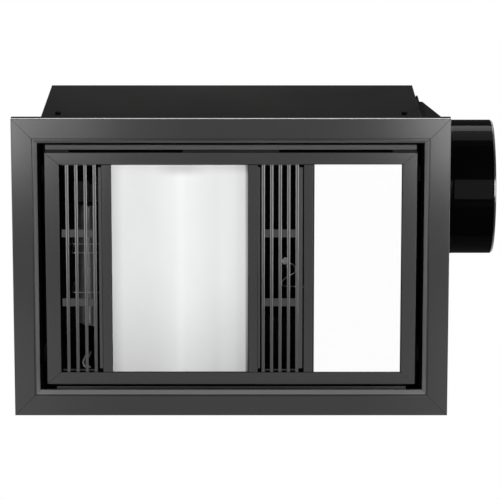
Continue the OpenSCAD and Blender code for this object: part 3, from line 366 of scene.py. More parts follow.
def frosted_window():
    tree, shader = new_material("frosted_glass")
    x, y = centred(tree, glass_mid)[:2]
    tones = [band(tree, x, *row) for row in PAINTED_GLOW_BANDS]
    tones += [remap(tree, x, *row, "SMOOTHSTEP") for row in PAINTED_EDGE_SHADE]
    upper = remap(tree, y, 1.0, 0.0, *(fade - half_d for fade in TOP_FADE), "SMOOTHSTEP")
    top_shade = remap(tree, x, *TOP_SHADE_GAINS, -half_w, half_w)
    lower = math_node(tree, "POWER", remap(tree, y, 0.0, 1.0, -half_d / 4, half_d), LOW_END_SHADE_POWER)
    arch = band(tree, y, ARCH_IN - half_d, ARCH_HALF_HEIGHT, ARCH_SHADE_GAIN)
    span = band(tree, x, ARCH_ASIDE, ARCH_HALF_WIDTH, 1.0)
    tones += [math_node(tree, "MULTIPLY", top_shade, upper),
              math_node(tree, "MULTIPLY", lower, LOW_END_SHADE_GAIN),
              math_node(tree, "MULTIPLY", span, arch),
              remap(tree, noise(tree, CLOUD_SCALE, stretch=(1, 0.35, 1)), -CLOUD_GAIN, CLOUD_GAIN)]
    level = 1.0
    for tone in tones:
        level = math_node(tree, "ADD", tone, level)
    base = grey(230, (0.993, 0.997, 1.0))
    feed(tree, shader, Base_Color=mixed(tree, "RGBA", 1.0, base, level, "MULTIPLY"),
         Roughness=remap(tree, noise(tree, 900, 4.0), 0.5, 0.62), Specular_IOR_Level=0.3)
    relief(tree, shader, noise(tree, 2600, 2.0), 0.02)


frosted_window()
print("window", in_mm(glass_size), "mm")

# %% [markdown]
# ## The light
# The light panel is an opal sheet over a grid of small emitters and is switched on, so it is an
# even white in the photograph. Its sheet glows by itself, with a trace of the grid behind it. The
# board carries the emitters: each has a yellow phosphor, and a height test on the board's own
# coordinates tells them from the white solder mask.

# %% Opal sheet, emitter board and lamp tubes
board_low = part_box("light_board")[0]
sheet_low, sheet_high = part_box("light_diffuser")
sheet_mid, sheet_half = (sheet_low + sheet_high) / 2, (sheet_high.x - sheet_low.x) / 2
EMITTER_GRID, GLOW = 55, 0.93
MASK_TOP, PHOSPHOR_FROM = 0.9 * MM, 0.8 * MM
# Where the glow fades out at the sheet's left and right ends: a painted shadow line for the gap
# beside the sheet
EDGE_SHADE_FROM, EDGE_SHADE_TO = sheet_half - 0.9 * MM, sheet_half - 0.7 * MM


def opal_sheet():
    tree, shader = new_material("diffuser")
    spots = add(tree, "ShaderNodeTexVoronoi", feature="SMOOTH_F1", Scale=EMITTER_GRID,
                Randomness=0.0, Vector=object_space(tree))
    glow = ramp(tree, spots.outputs["Distance"], grey(252), grey(250), 0.1, 0.7)
    # The glow fades to nothing at the sheet's ends, a painted shadow line for the gap beside it
    out = math_node(tree, "ABSOLUTE", centred(tree, sheet_mid)[0])
    edge_shade = remap(tree, out, 1.0, 0.0, EDGE_SHADE_FROM, EDGE_SHADE_TO)
    feed(tree, shader, Emission_Color=mixed(tree, "RGBA", 1.0, glow, edge_shade, "MULTIPLY"),
         Emission_Strength=GLOW, Base_Color=ramp(tree, noise(tree, 1200), grey(60), grey(66)),
         Roughness=remap(tree, noise(tree, 900), 0.5, 0.6), Specular_IOR_Level=0.2)


def emitter_board():
    tree, shader = new_material("board")
    height = centred(tree, board_low)[2]
    phosphor = remap(tree, height, 1.0, 0.0, PHOSPHOR_FROM, MASK_TOP)
    mask = ramp(tree, noise(tree, 800), grey(222), grey(234))
    yellow = ramp(tree, noise(tree, 2400), grey(226, (1.0, 0.82, 0.3)), grey(240, (1.0, 0.9, 0.42)))
    feed(tree, shader, Base_Color=mixed(tree, "RGBA", phosphor, mask, yellow),
         Roughness=remap(tree, noise(tree, 1500), 0.3, 0.5))


def quartz_tube():
    """Clear fused quartz with faint streaks along the tube."""
    tree, shader = new_material("quartz")
    streaks = noise(tree, 900, stretch=(1, 0.04, 1))
    feed(tree, shader, Roughness=remap(tree, streaks, 0.03, 0.1), Transmission_Weight=0.85,
         IOR=1.46, Base_Color=ramp(tree, streaks, grey(232, (1.0, 0.97, 0.93)),
                                   grey(244, (1.0, 0.98, 0.95))))


opal_sheet()
emitter_board()
quartz_tube()
print("finishes:", len(materials))

# %% [markdown]
# ## Edges that catch the light
# Extrusions, folded sheet and moulded parts all have small rounded edges, and most of what the eye
# reads as real on this unit is the thin line of light along them. A Bevel modifier could round
# them on the CAD solids, but their meshes are loose triangles, which a bevel can't follow. So each
# solid is copied, its doubled points are merged, its flat faces are made whole, its sharp edges are
# rounded by the width that the real part would have, and the copy stands for the solid.

# %% Copy, merge and round
SMOOTH_BELOW, FLAT_BELOW = math.radians(32), math.radians(0.4)
WELD, ON_PLANE, FOLD_SEGMENTS = 2e-6, 1e-6, 5
pieces = {}


def made_mesh(mesh, name):
    """A plain mesh from an editing mesh."""
    data = bpy.data.meshes.new(name)
    mesh.to_mesh(data)
    mesh.free()
    return data


def loft(name, rings, closed=False):
    """A mesh that joins rings of points, each to the next. A ring may be a single point. The last
    ring joins the first if the mesh is closed, and else both end rings are capped."""
    mesh = bmesh.new()
    rings = [[mesh.verts.new(point) for point in ring] for ring in rings]
    for ring, after in zip(rings, rings[1:] + rings[:1] if closed else rings[1:]):
        steps = max(len(ring), len(after))
        for i, j in ((i, (i + 1) % steps) for i in range(steps)):
            corners = [ring[i % len(ring)], ring[j % len(ring)], after[j % len(after)],
                       after[i % len(after)]]
            mesh.faces.new(list(dict.fromkeys(corners)))
    for ring in (rings[0], rings[-1]):
        if len(ring) > 1 and not closed:
            mesh.faces.new(ring)
    bmesh.ops.recalc_face_normals(mesh, faces=mesh.faces)
    return made_mesh(mesh, name)


def evaluated(item):
    """The plain mesh that an object's modifiers make."""
    graph = bpy.context.evaluated_depsgraph_get()
    return bpy.data.meshes.new_from_object(item.evaluated_get(graph), depsgraph=graph)


def sharp_edges(mesh):
    return [e for e in mesh.edges if len(e.link_faces) == 2
            and e.calc_face_angle(0.0) > SMOOTH_BELOW]


def round_edges(mesh, edges, offset, segments):
    bmesh.ops.bevel(mesh, geom=edges, offset=offset, offset_type="OFFSET", segments=segments,
                    profile=0.5, affect="EDGES", clamp_overlap=True)


def place_piece(name, mesh, body, slot, replaced=()):
    """A piece that rides on a body. It is smooth up to its sharp edges, and weighted normals shade
    its wide flat faces flat beside their bevels."""
    mesh.materials.clear()
    mesh.materials.append(materials[slot])
    mesh.shade_smooth()
    mesh.set_sharp_from_angle(angle=SMOOTH_BELOW)
    piece = linked(name, mesh)
    piece.modifiers.new("Flat faces", "WEIGHTED_NORMAL").keep_sharp = True
    weighted = evaluated(piece)
    piece.modifiers.clear()
    piece.data = weighted
    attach(piece, body)
    if replaced:
        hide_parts(*replaced)
    pieces[piece.name] = piece
    return piece


def rounded_copy(node, width, segments=2, folds=None, fold_radius=0.0, slot=None, cuts=()):
    """A merged copy of a CAD solid, its edges rounded by a width in mm. folds picks the edges of a
    bent sheet, and cuts are planes (point, normal) that divide its faces for paint_faces."""
    source = nodes[node]
    mesh = bmesh.new()
    mesh.from_mesh(source.data)
    bmesh.ops.remove_doubles(mesh, verts=mesh.verts, dist=WELD)
    bmesh.ops.dissolve_limit(mesh, angle_limit=FLAT_BELOW, verts=mesh.verts, edges=mesh.edges)
    if folds:
        round_edges(mesh, [e for e in sharp_edges(mesh) if folds(e)], fold_radius, FOLD_SEGMENTS)
    if width:
        round_edges(mesh, sharp_edges(mesh), width * MM, segments)
    for point, normal in cuts:
        bmesh.ops.bisect_plane(mesh, geom=mesh.verts[:] + mesh.edges[:] + mesh.faces[:],
                               dist=ON_PLANE, plane_co=point, plane_no=normal)
    slot = slot or source.material_slots[0].material.name.split(".")[0]
    return place_piece(node + ".made", made_mesh(mesh, node + ".made"), source["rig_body"], slot,
                       [node])


def rounded_copies(edges, segments, **settings):
    """A rounded copy of each solid in a table of edge widths."""
    return [rounded_copy(node, width, segments, **settings) for node, width in edges.items()]


def paint_faces(piece, slot, chosen):
    """Gives a second finish to the faces that chosen(centre, normal) picks."""
    piece.data.materials.append(materials[slot])
    index = len(piece.data.materials) - 1
    picked = [face for face in piece.data.polygons if chosen(face.center, face.normal)]
    for face in picked:
        face.material_index = index
    return len(picked)


# %% [markdown]
# ## The trim frame and the floating panel
# The rails of the frame and of the panel are extrusions, cut at 45 degrees and butted, so a fine
# dark line runs across each corner. Their long edges have a radius of a few tenths of a
# millimetre. The bars between the bays and the panel's four latch posts are treated the same way.

# %% Rails, bars and posts
SIDES = ("front", "back", "left", "right")
RAIL_EDGES = {f"trim_rail_{side}": 0.22 for side in SIDES}
RAIL_EDGES |= {f"bezel_rail_{side}": 0.16 for side in SIDES}
RAIL_EDGES |= {"mullion_left": 0.4, "mullion_middle": 0.4, "mullion_right": 0.4,
               "panel_posts": 0.4, "trim_corner_keys": 0.2}
RAIL_FOLDS = {"trim": 0.9 * MM, "bezel": 0.6 * MM}
TOUCH, FACE_DEPTH = 0.1 * MM, 0.3 * MM
# The frame's outer sides above this level take the housing's black.
TRIM_FACE, DARK_SIDE_LEVEL = -13 * MM, -9 * MM
WALL_IN_X, WALL_IN_Y = 2.8 * MM, 5.2 * MM
panel_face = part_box("bezel_rail_back")[0].z
panel_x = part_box("bezel_rail_right")[1].x - WALL_IN_X
panel_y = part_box("bezel_rail_back")[1].y - WALL_IN_Y
RAIL_CUTS = {
    "trim": [((0, 0, DARK_SIDE_LEVEL), (0, 0, 1))],
    "bezel": [((s * panel_x, 0, 0), (1, 0, 0)) for s in (-1, 1)]
    + [((0, s * panel_y, 0), (0, 1, 0)) for s in (-1, 1)],
}


def long_face_edge(edge):
    """An edge of a rail's face that runs along the rail, not across it at the mitre."""
    a, b = edge.verts[0].co, edge.verts[1].co
    across = min(abs(a.x - b.x), abs(a.y - b.y))
    level = panel_face if max(a.z, b.z) < TRIM_FACE - 1 * MM else TRIM_FACE
    return max(abs(a.z - level), abs(b.z - level)) < FACE_DEPTH and across < TOUCH


rails = {}
for node, width in RAIL_EDGES.items():
    kind = node.split("_")[0] if "rail" in node else ""
    rails[node] = rounded_copy(node, width, 3, long_face_edge if kind else None,
                               RAIL_FOLDS.get(kind, 0.0), cuts=RAIL_CUTS.get(kind, ()))
print("rails and bars:", len(RAIL_EDGES), "edges of",
      min(RAIL_EDGES.values()), "to", max(RAIL_EDGES.values()), "mm")

# %% [markdown]
# The frame's rails have a groove and a bevel along their inner edge. The bevel is cut brighter
# than the paint, and the walls behind it get a near black of painted shade, so that the panel seems
# to float in a dark gap. The back rail's inner wall faces the camera and stays in the paint.
# Behind the panel's face its pockets and the rims at its ends get the same painted shade, its side
# walls a dark grey of painted shade, and its rim at the front and the back a lighter, painted
# highlight. The faces are told apart by how far in from the rail's outer edge they lie.

# %% Bevel, gap and panel walls
frame_x, frame_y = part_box("trim_rail_back")[1].x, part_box("trim_rail_back")[1].y
BEVEL_FROM, BEVEL_TO = 23.5 * MM, 27.2 * MM
PANEL_DEPTH = 2.4 * MM
KEPT_PAINT = ("back", "trim", "shadow_gap")


def inward(centre):
    return min(frame_x - abs(centre.x), frame_y - abs(centre.y))


def behind_face(centre):
    return centre.z > panel_face + PANEL_DEPTH


def outward(centre):
    """How far a point lies outside the panel's side walls, in X and in Y."""
    return abs(centre.x) - panel_x, abs(centre.y) - panel_y


# Each finish goes to the faces whose centre c and normal n pass its test
# On the frame: the brighter cut bevel, near-black painted shade on the inner walls, and the
# housing's black on the upper part of the outer sides.
TRIM_PAINTS = {
    "bevel_cut": lambda c, n: inward(c) > BEVEL_FROM and -0.95 < n.z < -0.2,
    "shadow_gap": lambda c, n: inward(c) > BEVEL_TO and abs(n.z) < 0.2,
    "housing_black": lambda c, n: inward(c) < TOUCH and c.z > DARK_SIDE_LEVEL and abs(n.z) < 0.3,
}
# Behind the panel: near-black painted shade in the pockets and on the rims at the ends, a dark grey
# of painted shade on the side walls, and a painted highlight on the rims at the front and back.
BEZEL_PAINTS = {
    "shadow_gap": lambda c, n: behind_face(c),
    "panel_side_shade": lambda c, n: behind_face(c) and abs(n.z) < 0.5 and max(outward(c)) > -TOUCH,
    "rim_painted_highlight": lambda c, n: behind_face(c) and n.z < -0.5 and outward(c)[0] < 0 < outward(c)[1],
}
for side in SIDES:
    counts = [paint_faces(rails[f"{rail}_rail_{side}"], slot, chosen)
              for rail, paints in (("trim", TRIM_PAINTS), ("bezel", BEZEL_PAINTS))
              for slot, chosen in paints.items() if (side, rail, slot) != KEPT_PAINT]
    print(side, "faces painted:", counts)

# %% [markdown]
# ## The grilles
# Each grille is a row of upright bars, tied by two cross bars, with a narrow rail at each end and a
# flat strip at one side or at both. The bars are all alike and stand at an even pitch, which is
# what Geometry Nodes are for: one bar is swept from a section with cut corners and set on a line of
# points. The tree's sizes are named inputs, so the ties, the rails and the strips use it too.

# %% A tree for rows of bars
def new_tree(name, inputs):
    """A geometry tree with named inputs; gives it, its end nodes and its inputs' identifiers."""
    tree = bpy.data.node_groups.new(name, "GeometryNodeTree")
    for way in ("INPUT", "OUTPUT"):
        tree.interface.new_socket("Geometry", in_out=way, socket_type="NodeSocketGeometry")
    sockets = {label: tree.interface.new_socket(label, in_out="INPUT",
                                                socket_type="NodeSocket" + kind).identifier
               for label, kind in inputs.items()}
    return tree, add(tree, "NodeGroupInput").outputs, add(tree, "NodeGroupOutput"), sockets


def vector_of(tree, x=0.0, y=0.0, z=0.0):
    return add(tree, "ShaderNodeCombineXYZ", X=x, Y=y, Z=z).outputs[0]


def closing_nodes(tree, geometry, material, end):
    """Every tree ends alike: instances become real faces and take their material."""
    real = add(tree, "GeometryNodeRealizeInstances", Geometry=geometry).outputs[0]
    paint = add(tree, "GeometryNodeSetMaterial", Geometry=real, Material=material)
    feed(tree, end, Geometry=paint.outputs[0])


def bar_row_tree():
    tree, given, end, sockets = new_tree("row of bars", {
        "Count": "Int", "First": "Vector", "Pitch": "Vector", "Length": "Float", "Width": "Float",
        "Height": "Float", "Corner": "Float", "Slant": "Float", "Material": "Material"})
    half = math_node(tree, "MULTIPLY", given["Length"], 0.5)
    line = add(tree, "GeometryNodeCurvePrimitiveLine", End=vector_of(tree, y=half),
               Start=vector_of(tree, y=math_node(tree, "MULTIPLY", half, -1.0)))
    section = add(tree, "GeometryNodeCurvePrimitiveQuadrilateral", Width=given["Width"],
                  Height=math_node(tree, "DIVIDE", given["Height"], given["Slant"]))
    corners = add(tree, "GeometryNodeFilletCurve", mode="POLY", Curve=section.outputs[0], Count=1,
                  Radius=given["Corner"])
    flat = add(tree, "GeometryNodeTransform", Geometry=corners.outputs[0],
               Scale=vector_of(tree, 1.0, given["Slant"], 1.0))
    sweep = add(tree, "GeometryNodeCurveToMesh", Curve=line.outputs[0], Fill_Caps=True,
                Profile_Curve=flat.outputs[0])
    points = add(tree, "GeometryNodeMeshLine", Count=given["Count"],
                 Start_Location=given["First"], Offset=given["Pitch"])
    stand = add(tree, "GeometryNodeInstanceOnPoints", Points=points.outputs[0],
                Instance=sweep.outputs[0])
    closing_nodes(tree, stand.outputs[0], given["Material"], end)
    return tree, sockets


bar_setup = bar_row_tree()


def grown(setup, name, values, data=None):
    """Runs a tree on a mesh, an empty one if none is given, and gives the plain mesh it makes."""
    tree, sockets = setup
    holder = linked(name, bpy.data.meshes.new(name) if data is None else data)
    modifier = holder.modifiers.new(name, "NODES")
    modifier.node_group = tree
    for label, value in values.items():
        modifier[sockets[label]] = value
    mesh = evaluated(holder)
    bpy.data.objects.remove(holder)
    mesh.name = name
    return mesh


def bar_row(name, count, first, pitch, length, width, height, corner, along="Y", slant=1.0):
    """A mesh of bars along Y; along X they are the same bars, turned. A slant below 1 makes the
    cut corners flatter, so that they lean towards the front."""
    if along == "X":
        first, pitch = ((v[1], -v[0], v[2]) for v in (first, pitch))
    mesh = grown(bar_setup, name, {
        "Count": count, "First": first, "Pitch": pitch, "Length": length, "Width": width,
        "Height": height, "Corner": corner, "Slant": slant,
        "Material": materials["grille_finish"]})
    if along == "X":
        mesh.transform(Matrix.Rotation(math.pi / 2, 4, "Z"))
    return mesh


def joined(name, meshes):
    """One mesh from several."""
    whole = bmesh.new()
    for mesh in meshes:
        whole.from_mesh(mesh)
    data = made_mesh(whole, name)
    for mesh in meshes:
        bpy.data.meshes.remove(mesh)
    return data


# %% [markdown]
# Each bar has its front corners cut, not rounded, because such a facet is wide enough to mirror a
# side light as one clean bright line. The two cross ties lie behind the bars. Each grille's insert
# has a flat strip beside its bars, set back from the face.

# %% Both grilles
BAR_WIDTH, BAR_HEIGHT, BAR_CORNER, BAR_SLANT = 3.3 * MM, 7 * MM, 0.95 * MM, 0.66
CROSS_WIDTH, CROSS_HEIGHT, END_WIDTH = 8.7 * MM, 2 * MM, 1.6 * MM
STRIP_HEIGHT, STRIP_END, STRIP_CORNER = 4.5 * MM, 3.4 * MM, 0.25 * MM


def grille(node, count, first_gap, last_gap, tie_reach, strips):
    """tie_reach is how far the ties pass the outer bars; strips are (from, to) in X."""
    low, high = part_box(node)
    width, depth = high.x - low.x, high.y - low.y
    pitch = (width - first_gap - last_gap - BAR_WIDTH) / (count - 1)
    first = low.x + first_gap + BAR_WIDTH / 2
    last = first + (count - 1) * pitch
    tie_from, tie_to = first - BAR_WIDTH / 2 - tie_reach, last + BAR_WIDTH / 2
    meshes = [bar_row(node + " bars", count, (first, 0, (low.z + high.z) / 2), (pitch, 0, 0),
                      depth, BAR_WIDTH, BAR_HEIGHT, BAR_CORNER, slant=BAR_SLANT)]
    for spread, tie_width in ((depth / 3, CROSS_WIDTH), (depth - END_WIDTH, END_WIDTH)):
        start = ((tie_from + tie_to) / 2, -spread / 2, high.z - CROSS_HEIGHT / 2)
        meshes.append(bar_row(node + " ties", 2, start, (0, spread, 0), tie_to - tie_from,
                              tie_width, CROSS_HEIGHT, STRIP_CORNER, "X"))
    for strip_from, strip_to in strips:
        start = ((strip_from + strip_to) / 2, 0, high.z - STRIP_HEIGHT / 2)
        meshes.append(bar_row(node + " strip", 1, start, (0, 0, 0), depth - 2 * STRIP_END,
                              strip_to - strip_from, STRIP_HEIGHT, STRIP_CORNER))
    piece = place_piece(node + ".bars", joined(node + ".bars", meshes), "panel", "grille_finish",
                        [node])
    print(node, count, "bars at", round(pitch / MM, 2), "mm, piece", in_mm(piece.dimensions),
          "mm, solid", in_mm(high - low))


left_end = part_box("grille_left")[1].x
right_start, right_end = (corner.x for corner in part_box("grille_right"))
grille("grille_left", 4, first_gap=6.4 * MM, last_gap=5.8 * MM, tie_reach=4.6 * MM,
       strips=[(left_end - 3.5 * MM, left_end)])
grille("grille_right", 5, first_gap=4.0 * MM, last_gap=5.4 * MM, tie_reach=0.0,
       strips=[(right_start, right_start + 2.3 * MM),
               (right_end - 5.5 * MM, right_end - 0.9 * MM)])

# %% [markdown]
# ## The window, the opal sheet and what carries them
# The glass has ground edges about a millimetre wide. The opal sheet, the light's tray and the
# gaskets are cut or folded pieces with smaller edges.

# %% Window and light
PANEL_EDGES = {
    "heater_glass": 0.9, "glass_gasket": 0.3, "glass_clips": 0.25, "light_diffuser": 0.5,
    "light_tray": 0.3, "light_board": 0.12, "light_driver": 1.2,
}
print("window and light:", len(rounded_copies(PANEL_EDGES, 3)), "pieces")

# %% [markdown]
# ## The housing
# The wrap is one sheet, folded over a small radius along both top edges, so these two edges get a
# larger round than the cut ones. The end plates, the deck that carries both fans and the square
# flange of the duct are plain sheet, deburred. The lower edges of the wrap and the end plates lie
# in the gap and get its near black, as painted shade.

# %% Folded sheet
wrap_low, wrap_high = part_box("housing_wrap")
WRAP_FOLD, LIP_TOP = 1.0 * MM, 8 * MM


def top_fold(edge):
    """The long upper edges of the wrap: the outer ones, at the sheet's outer corners."""
    a, b = edge.verts[0].co, edge.verts[1].co
    at_top = min(a.z, b.z) > wrap_high.z - TOUCH
    return at_top and min(abs(a.y), abs(b.y)) > wrap_high.y - TOUCH


def lower_lip(centre, normal):
    return centre.z < LIP_TOP and normal.z < -0.3


shell = [rounded_copy("housing_wrap", 0.3, 2, top_fold, WRAP_FOLD)]
shell += rounded_copies({"housing_end_left": 0.3, "housing_end_right": 0.3}, 2)
# The lower edges of the wrap and the end plates, seen in the gap, get painted shade.
print("edges in the gap:", [paint_faces(piece, "shadow_gap", lower_lip) for piece in shell])
# The galvanised deck takes the near-black plastic here: painted shade of the housing's dark inside.
rounded_copy("deck_plate", 0.3, 2, slot="black_plastic")
rounded_copies({"duct_gasket": 0.25, "duct_flange": 0.25}, 2)
rounded_copy("latch_blocks", 0.8, 3)
print("housing", in_mm(wrap_high - wrap_low), "mm")

# %% [markdown]
# Below the panel, the gap shows a narrow ledge of the rear wall, on which the frame is hooked. It
# is a folded strip just above the frame, out of reach of the panel's rim.

# %% Rear ledge
LEDGE_LOW = Vector((-190, 134.6, 0.1)) * MM
LEDGE_HIGH = Vector((190, 154.9, 1.5)) * MM
LEDGE_EDGE = 0.3 * MM


def rear_ledge():
    mesh = bmesh.new()
    bmesh.ops.create_cube(mesh, size=1.0)
    size, middle = LEDGE_HIGH - LEDGE_LOW, (LEDGE_HIGH + LEDGE_LOW) / 2
    for vertex in mesh.verts:
        vertex.co = vertex.co * size + middle
    round_edges(mesh, mesh.edges[:], LEDGE_EDGE, 2)
    return place_piece("rear_ledge", made_mesh(mesh, "rear_ledge"), "housing", "grille_finish")


print("ledge", in_mm(rear_ledge().dimensions), "mm")

# %% [markdown]
# ## The duct outlet
# The outlet is a moulding that goes from a square root to a round spigot. The taper keeps the
# solid's own faces, smoothed. The collar and the spigot are turned shapes, so their section is
# drawn once and spun round the duct's axis, with a soft flare at the root and a rounded lip
# that the duct slides over. A spin can leave the faces pointing inward, so they are recalculated.

# %% Adaptor and spigot
TURNED_STEPS, DISC_STEPS, DISC_EDGE = 144, 96, 0.2
COLLAR_R, SPIGOT_R, BORE_R, COLLAR_LENGTH, COLLAR_EDGE = 75.5, 74.0, 72.2, 10.0, 0.3
LIP_LENGTH, LIP_HEIGHT, LIP_STEPS, LIP_BACK, LIP_RUN = 4.0, 1.6, 10, 0.2, 2.0
LIP_HIGHLIGHT_LENGTH, FLARE_AT = 2 * MM, (0.2, 0.35, 0.5, 0.65, 0.8, 0.95)
rounded_copy("duct_adaptor", 0.0)
spigot_low, spigot_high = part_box("duct_spigot")
spigot_mid = (spigot_low + spigot_high) / 2
DUCT_Y, DUCT_Z = spigot_mid.y, spigot_mid.z


def turned(name, section, centre=(0, 0, 0), axis="Z", steps=TURNED_STEPS, closed=True):
    """Spins a section of (along, radius) points, in mm, round an axis through centre. A section
    that isn't closed starts and ends on the axis."""
    rings = []
    for along, radius in section:
        ring = []
        for i in range(steps if radius else 1):
            angle = 2 * math.pi * i / steps
            a, b = radius * math.cos(angle), radius * math.sin(angle)
            offset = Vector((along, a, b) if axis == "X" else (a, b, along))
            ring.append(Vector(centre) + offset * MM)
        rings.append(ring)
    return loft(name, rings, closed)


spigot_length = (spigot_high.x - spigot_low.x) / MM
flare = [(COLLAR_LENGTH * t, SPIGOT_R + (COLLAR_R - SPIGOT_R) * (1 + math.cos(math.pi * t)) / 2)
         for t in FLARE_AT]
lip = [(spigot_length + LIP_LENGTH * (math.sin(a) - 1), SPIGOT_R + LIP_HEIGHT * (math.cos(a) - 1))
       for a in (math.radians(90 * i / LIP_STEPS) for i in range(LIP_STEPS + 1))]
spigot_section = [(0.0, BORE_R), (0.0, COLLAR_R - COLLAR_EDGE), (COLLAR_EDGE, COLLAR_R), *flare,
                  (spigot_length - LIP_LENGTH - LIP_RUN, SPIGOT_R), *lip,
                  (spigot_length - LIP_BACK, BORE_R)]
spigot = place_piece("duct_spigot.turned",
                     turned("duct_spigot.turned", spigot_section, (spigot_low.x, DUCT_Y, DUCT_Z),
                            "X"), "housing", "duct_black", ["duct_spigot"])
# The last millimetres of the lip take the lighter, glossier black: a painted highlight along the
# rim.
paint_faces(spigot, "duct_lip_highlight", lambda centre, normal: centre.x > spigot_high.x - LIP_HIGHLIGHT_LENGTH)
print("spigot", round(spigot_length, 1), "mm long,", 2 * SPIGOT_R, "mm across")

# %% [markdown]
# ## Screws
# The visible screws are pan heads with a cross recess, black on the housing and the duct, zinc
# plated on the frame. One head is modelled, with its recess cut by a boolean, and Geometry Nodes
# set it on a point for each screw, turned to that point's own direction. Each screw also turns
# a different amount about its axis, because nobody lines them up.

# %% One screw
HEAD_EDGE, HEAD_DISH, HEAD_SOFT, SCREW_STEPS = 0.1, 0.02, 0.45, 32
# Shares of the shank's radius for the tip, of the head's sizes for its crown and its recess
TIP_R, TIP_LENGTH, CROWN_R = 0.3, 0.9, 0.25
CROSS_WIDE, CROSS_REACH, CROSS_DEEP, CROSS_TAPER = 0.14, 0.58, 0.7, (0.35, 0.4)


def cross_cutter(width, reach, depth):
    """A cross that narrows downward, as the driver does."""
    arms = []
    for turn in (0, math.pi / 2):
        rings = [[(sx * reach * a, sy * width * b, z)
                  for sx, sy in ((-1, -1), (1, -1), (1, 1), (-1, 1))]
                 for a, b, z in ((*CROSS_TAPER, -depth), (1, 1, depth))]
        arms.append(loft("arm", rings))
        arms[-1].transform(Matrix.Rotation(turn, 4, "Z"))
    return linked("cross", joined("cross", arms))


def screw_pattern(name, shank, length, head, height):
    """A pan head screw, its seat at z = 0 and its head up: the radius and length of its shank and
    the radius and height of its head, in mm."""
    soft = height * HEAD_SOFT
    profile = [(-length, 0), (-length, shank * TIP_R), (shank * TIP_LENGTH - length, shank),
               (0, shank), (0, head - HEAD_EDGE), (HEAD_EDGE, head), (height - soft, head)]
    profile += [(height - soft + soft * math.sin(a), head - soft * (1 - math.cos(a)))
                for a in (math.radians(30), math.radians(60))]
    profile += [(height - HEAD_DISH, head - soft), (height, head * CROWN_R), (height, 0)]
    screw = linked(name, turned(name, profile, steps=SCREW_STEPS, closed=False))
    cutter = cross_cutter(head * CROSS_WIDE * MM, head * CROSS_REACH * MM,
                          height * CROSS_DEEP * MM)
    cutter.location.z = height * MM
    cut = screw.modifiers.new("Cross recess", "BOOLEAN")
    cut.operation, cut.solver, cut.use_self, cut.object = "DIFFERENCE", "EXACT", True, cutter
    mesh = evaluated(screw)
    screw.modifiers.clear()
    screw.data = mesh
    bpy.data.objects.remove(cutter)
    return screw


# %% A tree that sets screws on points
SCREW_TURN, SCREW_SEED = 1.5, 3


def set_on_points_tree():
    tree, given, end, sockets = new_tree("screws on points", {
        "Screw": "Object", "Seed": "Int", "Material": "Material"})
    info = add(tree, "GeometryNodeObjectInfo", Object=given["Screw"])
    heading = add(tree, "GeometryNodeInputNamedAttribute", data_type="FLOAT_VECTOR",
                  Name="heading")
    align = add(tree, "FunctionNodeAlignRotationToVector", axis="Z",
                Vector=heading.outputs["Attribute"])
    stand = add(tree, "GeometryNodeInstanceOnPoints", Points=given["Geometry"],
                Instance=info.outputs["Geometry"], Rotation=align.outputs["Rotation"])
    chance = add(tree, "FunctionNodeRandomValue", data_type="FLOAT", Seed=given["Seed"])
    limits, angles = ([s for s in sockets_of if s.type == "VALUE" and s.enabled]
                      for sockets_of in (chance.inputs, chance.outputs))
    limits[1].default_value = SCREW_TURN
    turn = add(tree, "GeometryNodeRotateInstances", Instances=stand.outputs[0],
               Rotation=vector_of(tree, z=angles[0]))
    closing_nodes(tree, turn.outputs[0], given["Material"], end)
    return tree, sockets


screw_setup = set_on_points_tree()


def screws(name, sizes, places, slot, replaced=()):
    """places is a list of (seat, heading) pairs; the result is one plain mesh on the housing."""
    pattern = screw_pattern(name + " pattern", *sizes)
    data = bpy.data.meshes.new(name)
    data.from_pydata([seat for seat, heading in places], [], [])
    data.attributes.new("heading", "FLOAT_VECTOR", "POINT")
    for item, (seat, heading) in zip(data.attributes["heading"].data, places):
        item.vector = heading
    mesh = grown(screw_setup, name, {"Screw": pattern, "Seed": SCREW_SEED,
                                     "Material": materials[slot]}, data)
    bpy.data.objects.remove(pattern)
    place_piece(name, mesh, "housing", slot, replaced)
    print(name, len(places), "screws,", len(mesh.polygons), "faces")


# %% Screws of the housing, the duct and the frame
SIGNS, BOX_SCREW_INSET = (-1, 1), 2.7 * MM
BOX_SCREW, FLANGE_SCREW, TRIM_SCREW = (1.9, 8, 3.1, 3.4), (1.2, 8, 2.4, 1.4), (1.5, 9, 2.8, 2)
screw_low, screw_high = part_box("housing_screws")
screw_x, screw_z = screw_high.x - BOX_SCREW_INSET, (screw_low.z + screw_high.z) / 2
screws("housing_screws.heads", BOX_SCREW,
       [((sx * screw_x, sy * wrap_high.y, screw_z), (0, sy, 0)) for sx in SIGNS for sy in SIGNS],
       "black_screws", ["housing_screws"])

flange_low, flange_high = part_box("flange_screws")
flange_reach = (flange_high.y - flange_low.y) / 2 - FLANGE_SCREW[2] * MM
flange_seat = flange_high.x - FLANGE_SCREW[3] * MM
screws("flange_screws.heads", FLANGE_SCREW,
       [((flange_seat, DUCT_Y + flange_reach * math.cos(a), DUCT_Z + flange_reach * math.sin(a)),
         (1, 0, 0)) for a in (0, math.pi / 2, math.pi, 3 * math.pi / 2)],
       "black_screws", ["flange_screws"])

trim_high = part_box("trim_screws")[1]
trim_x, trim_y = trim_high.x - TRIM_SCREW[2] * MM, trim_high.y - TRIM_SCREW[2] * MM
screws("trim_screws.heads", TRIM_SCREW,
       [((x, s * trim_y, trim_high.z - TRIM_SCREW[3] * MM), (0, 0, 1))
        for x in (-trim_x, 0, trim_x) for s in SIGNS],
       "zinc_screws", ["trim_screws"])

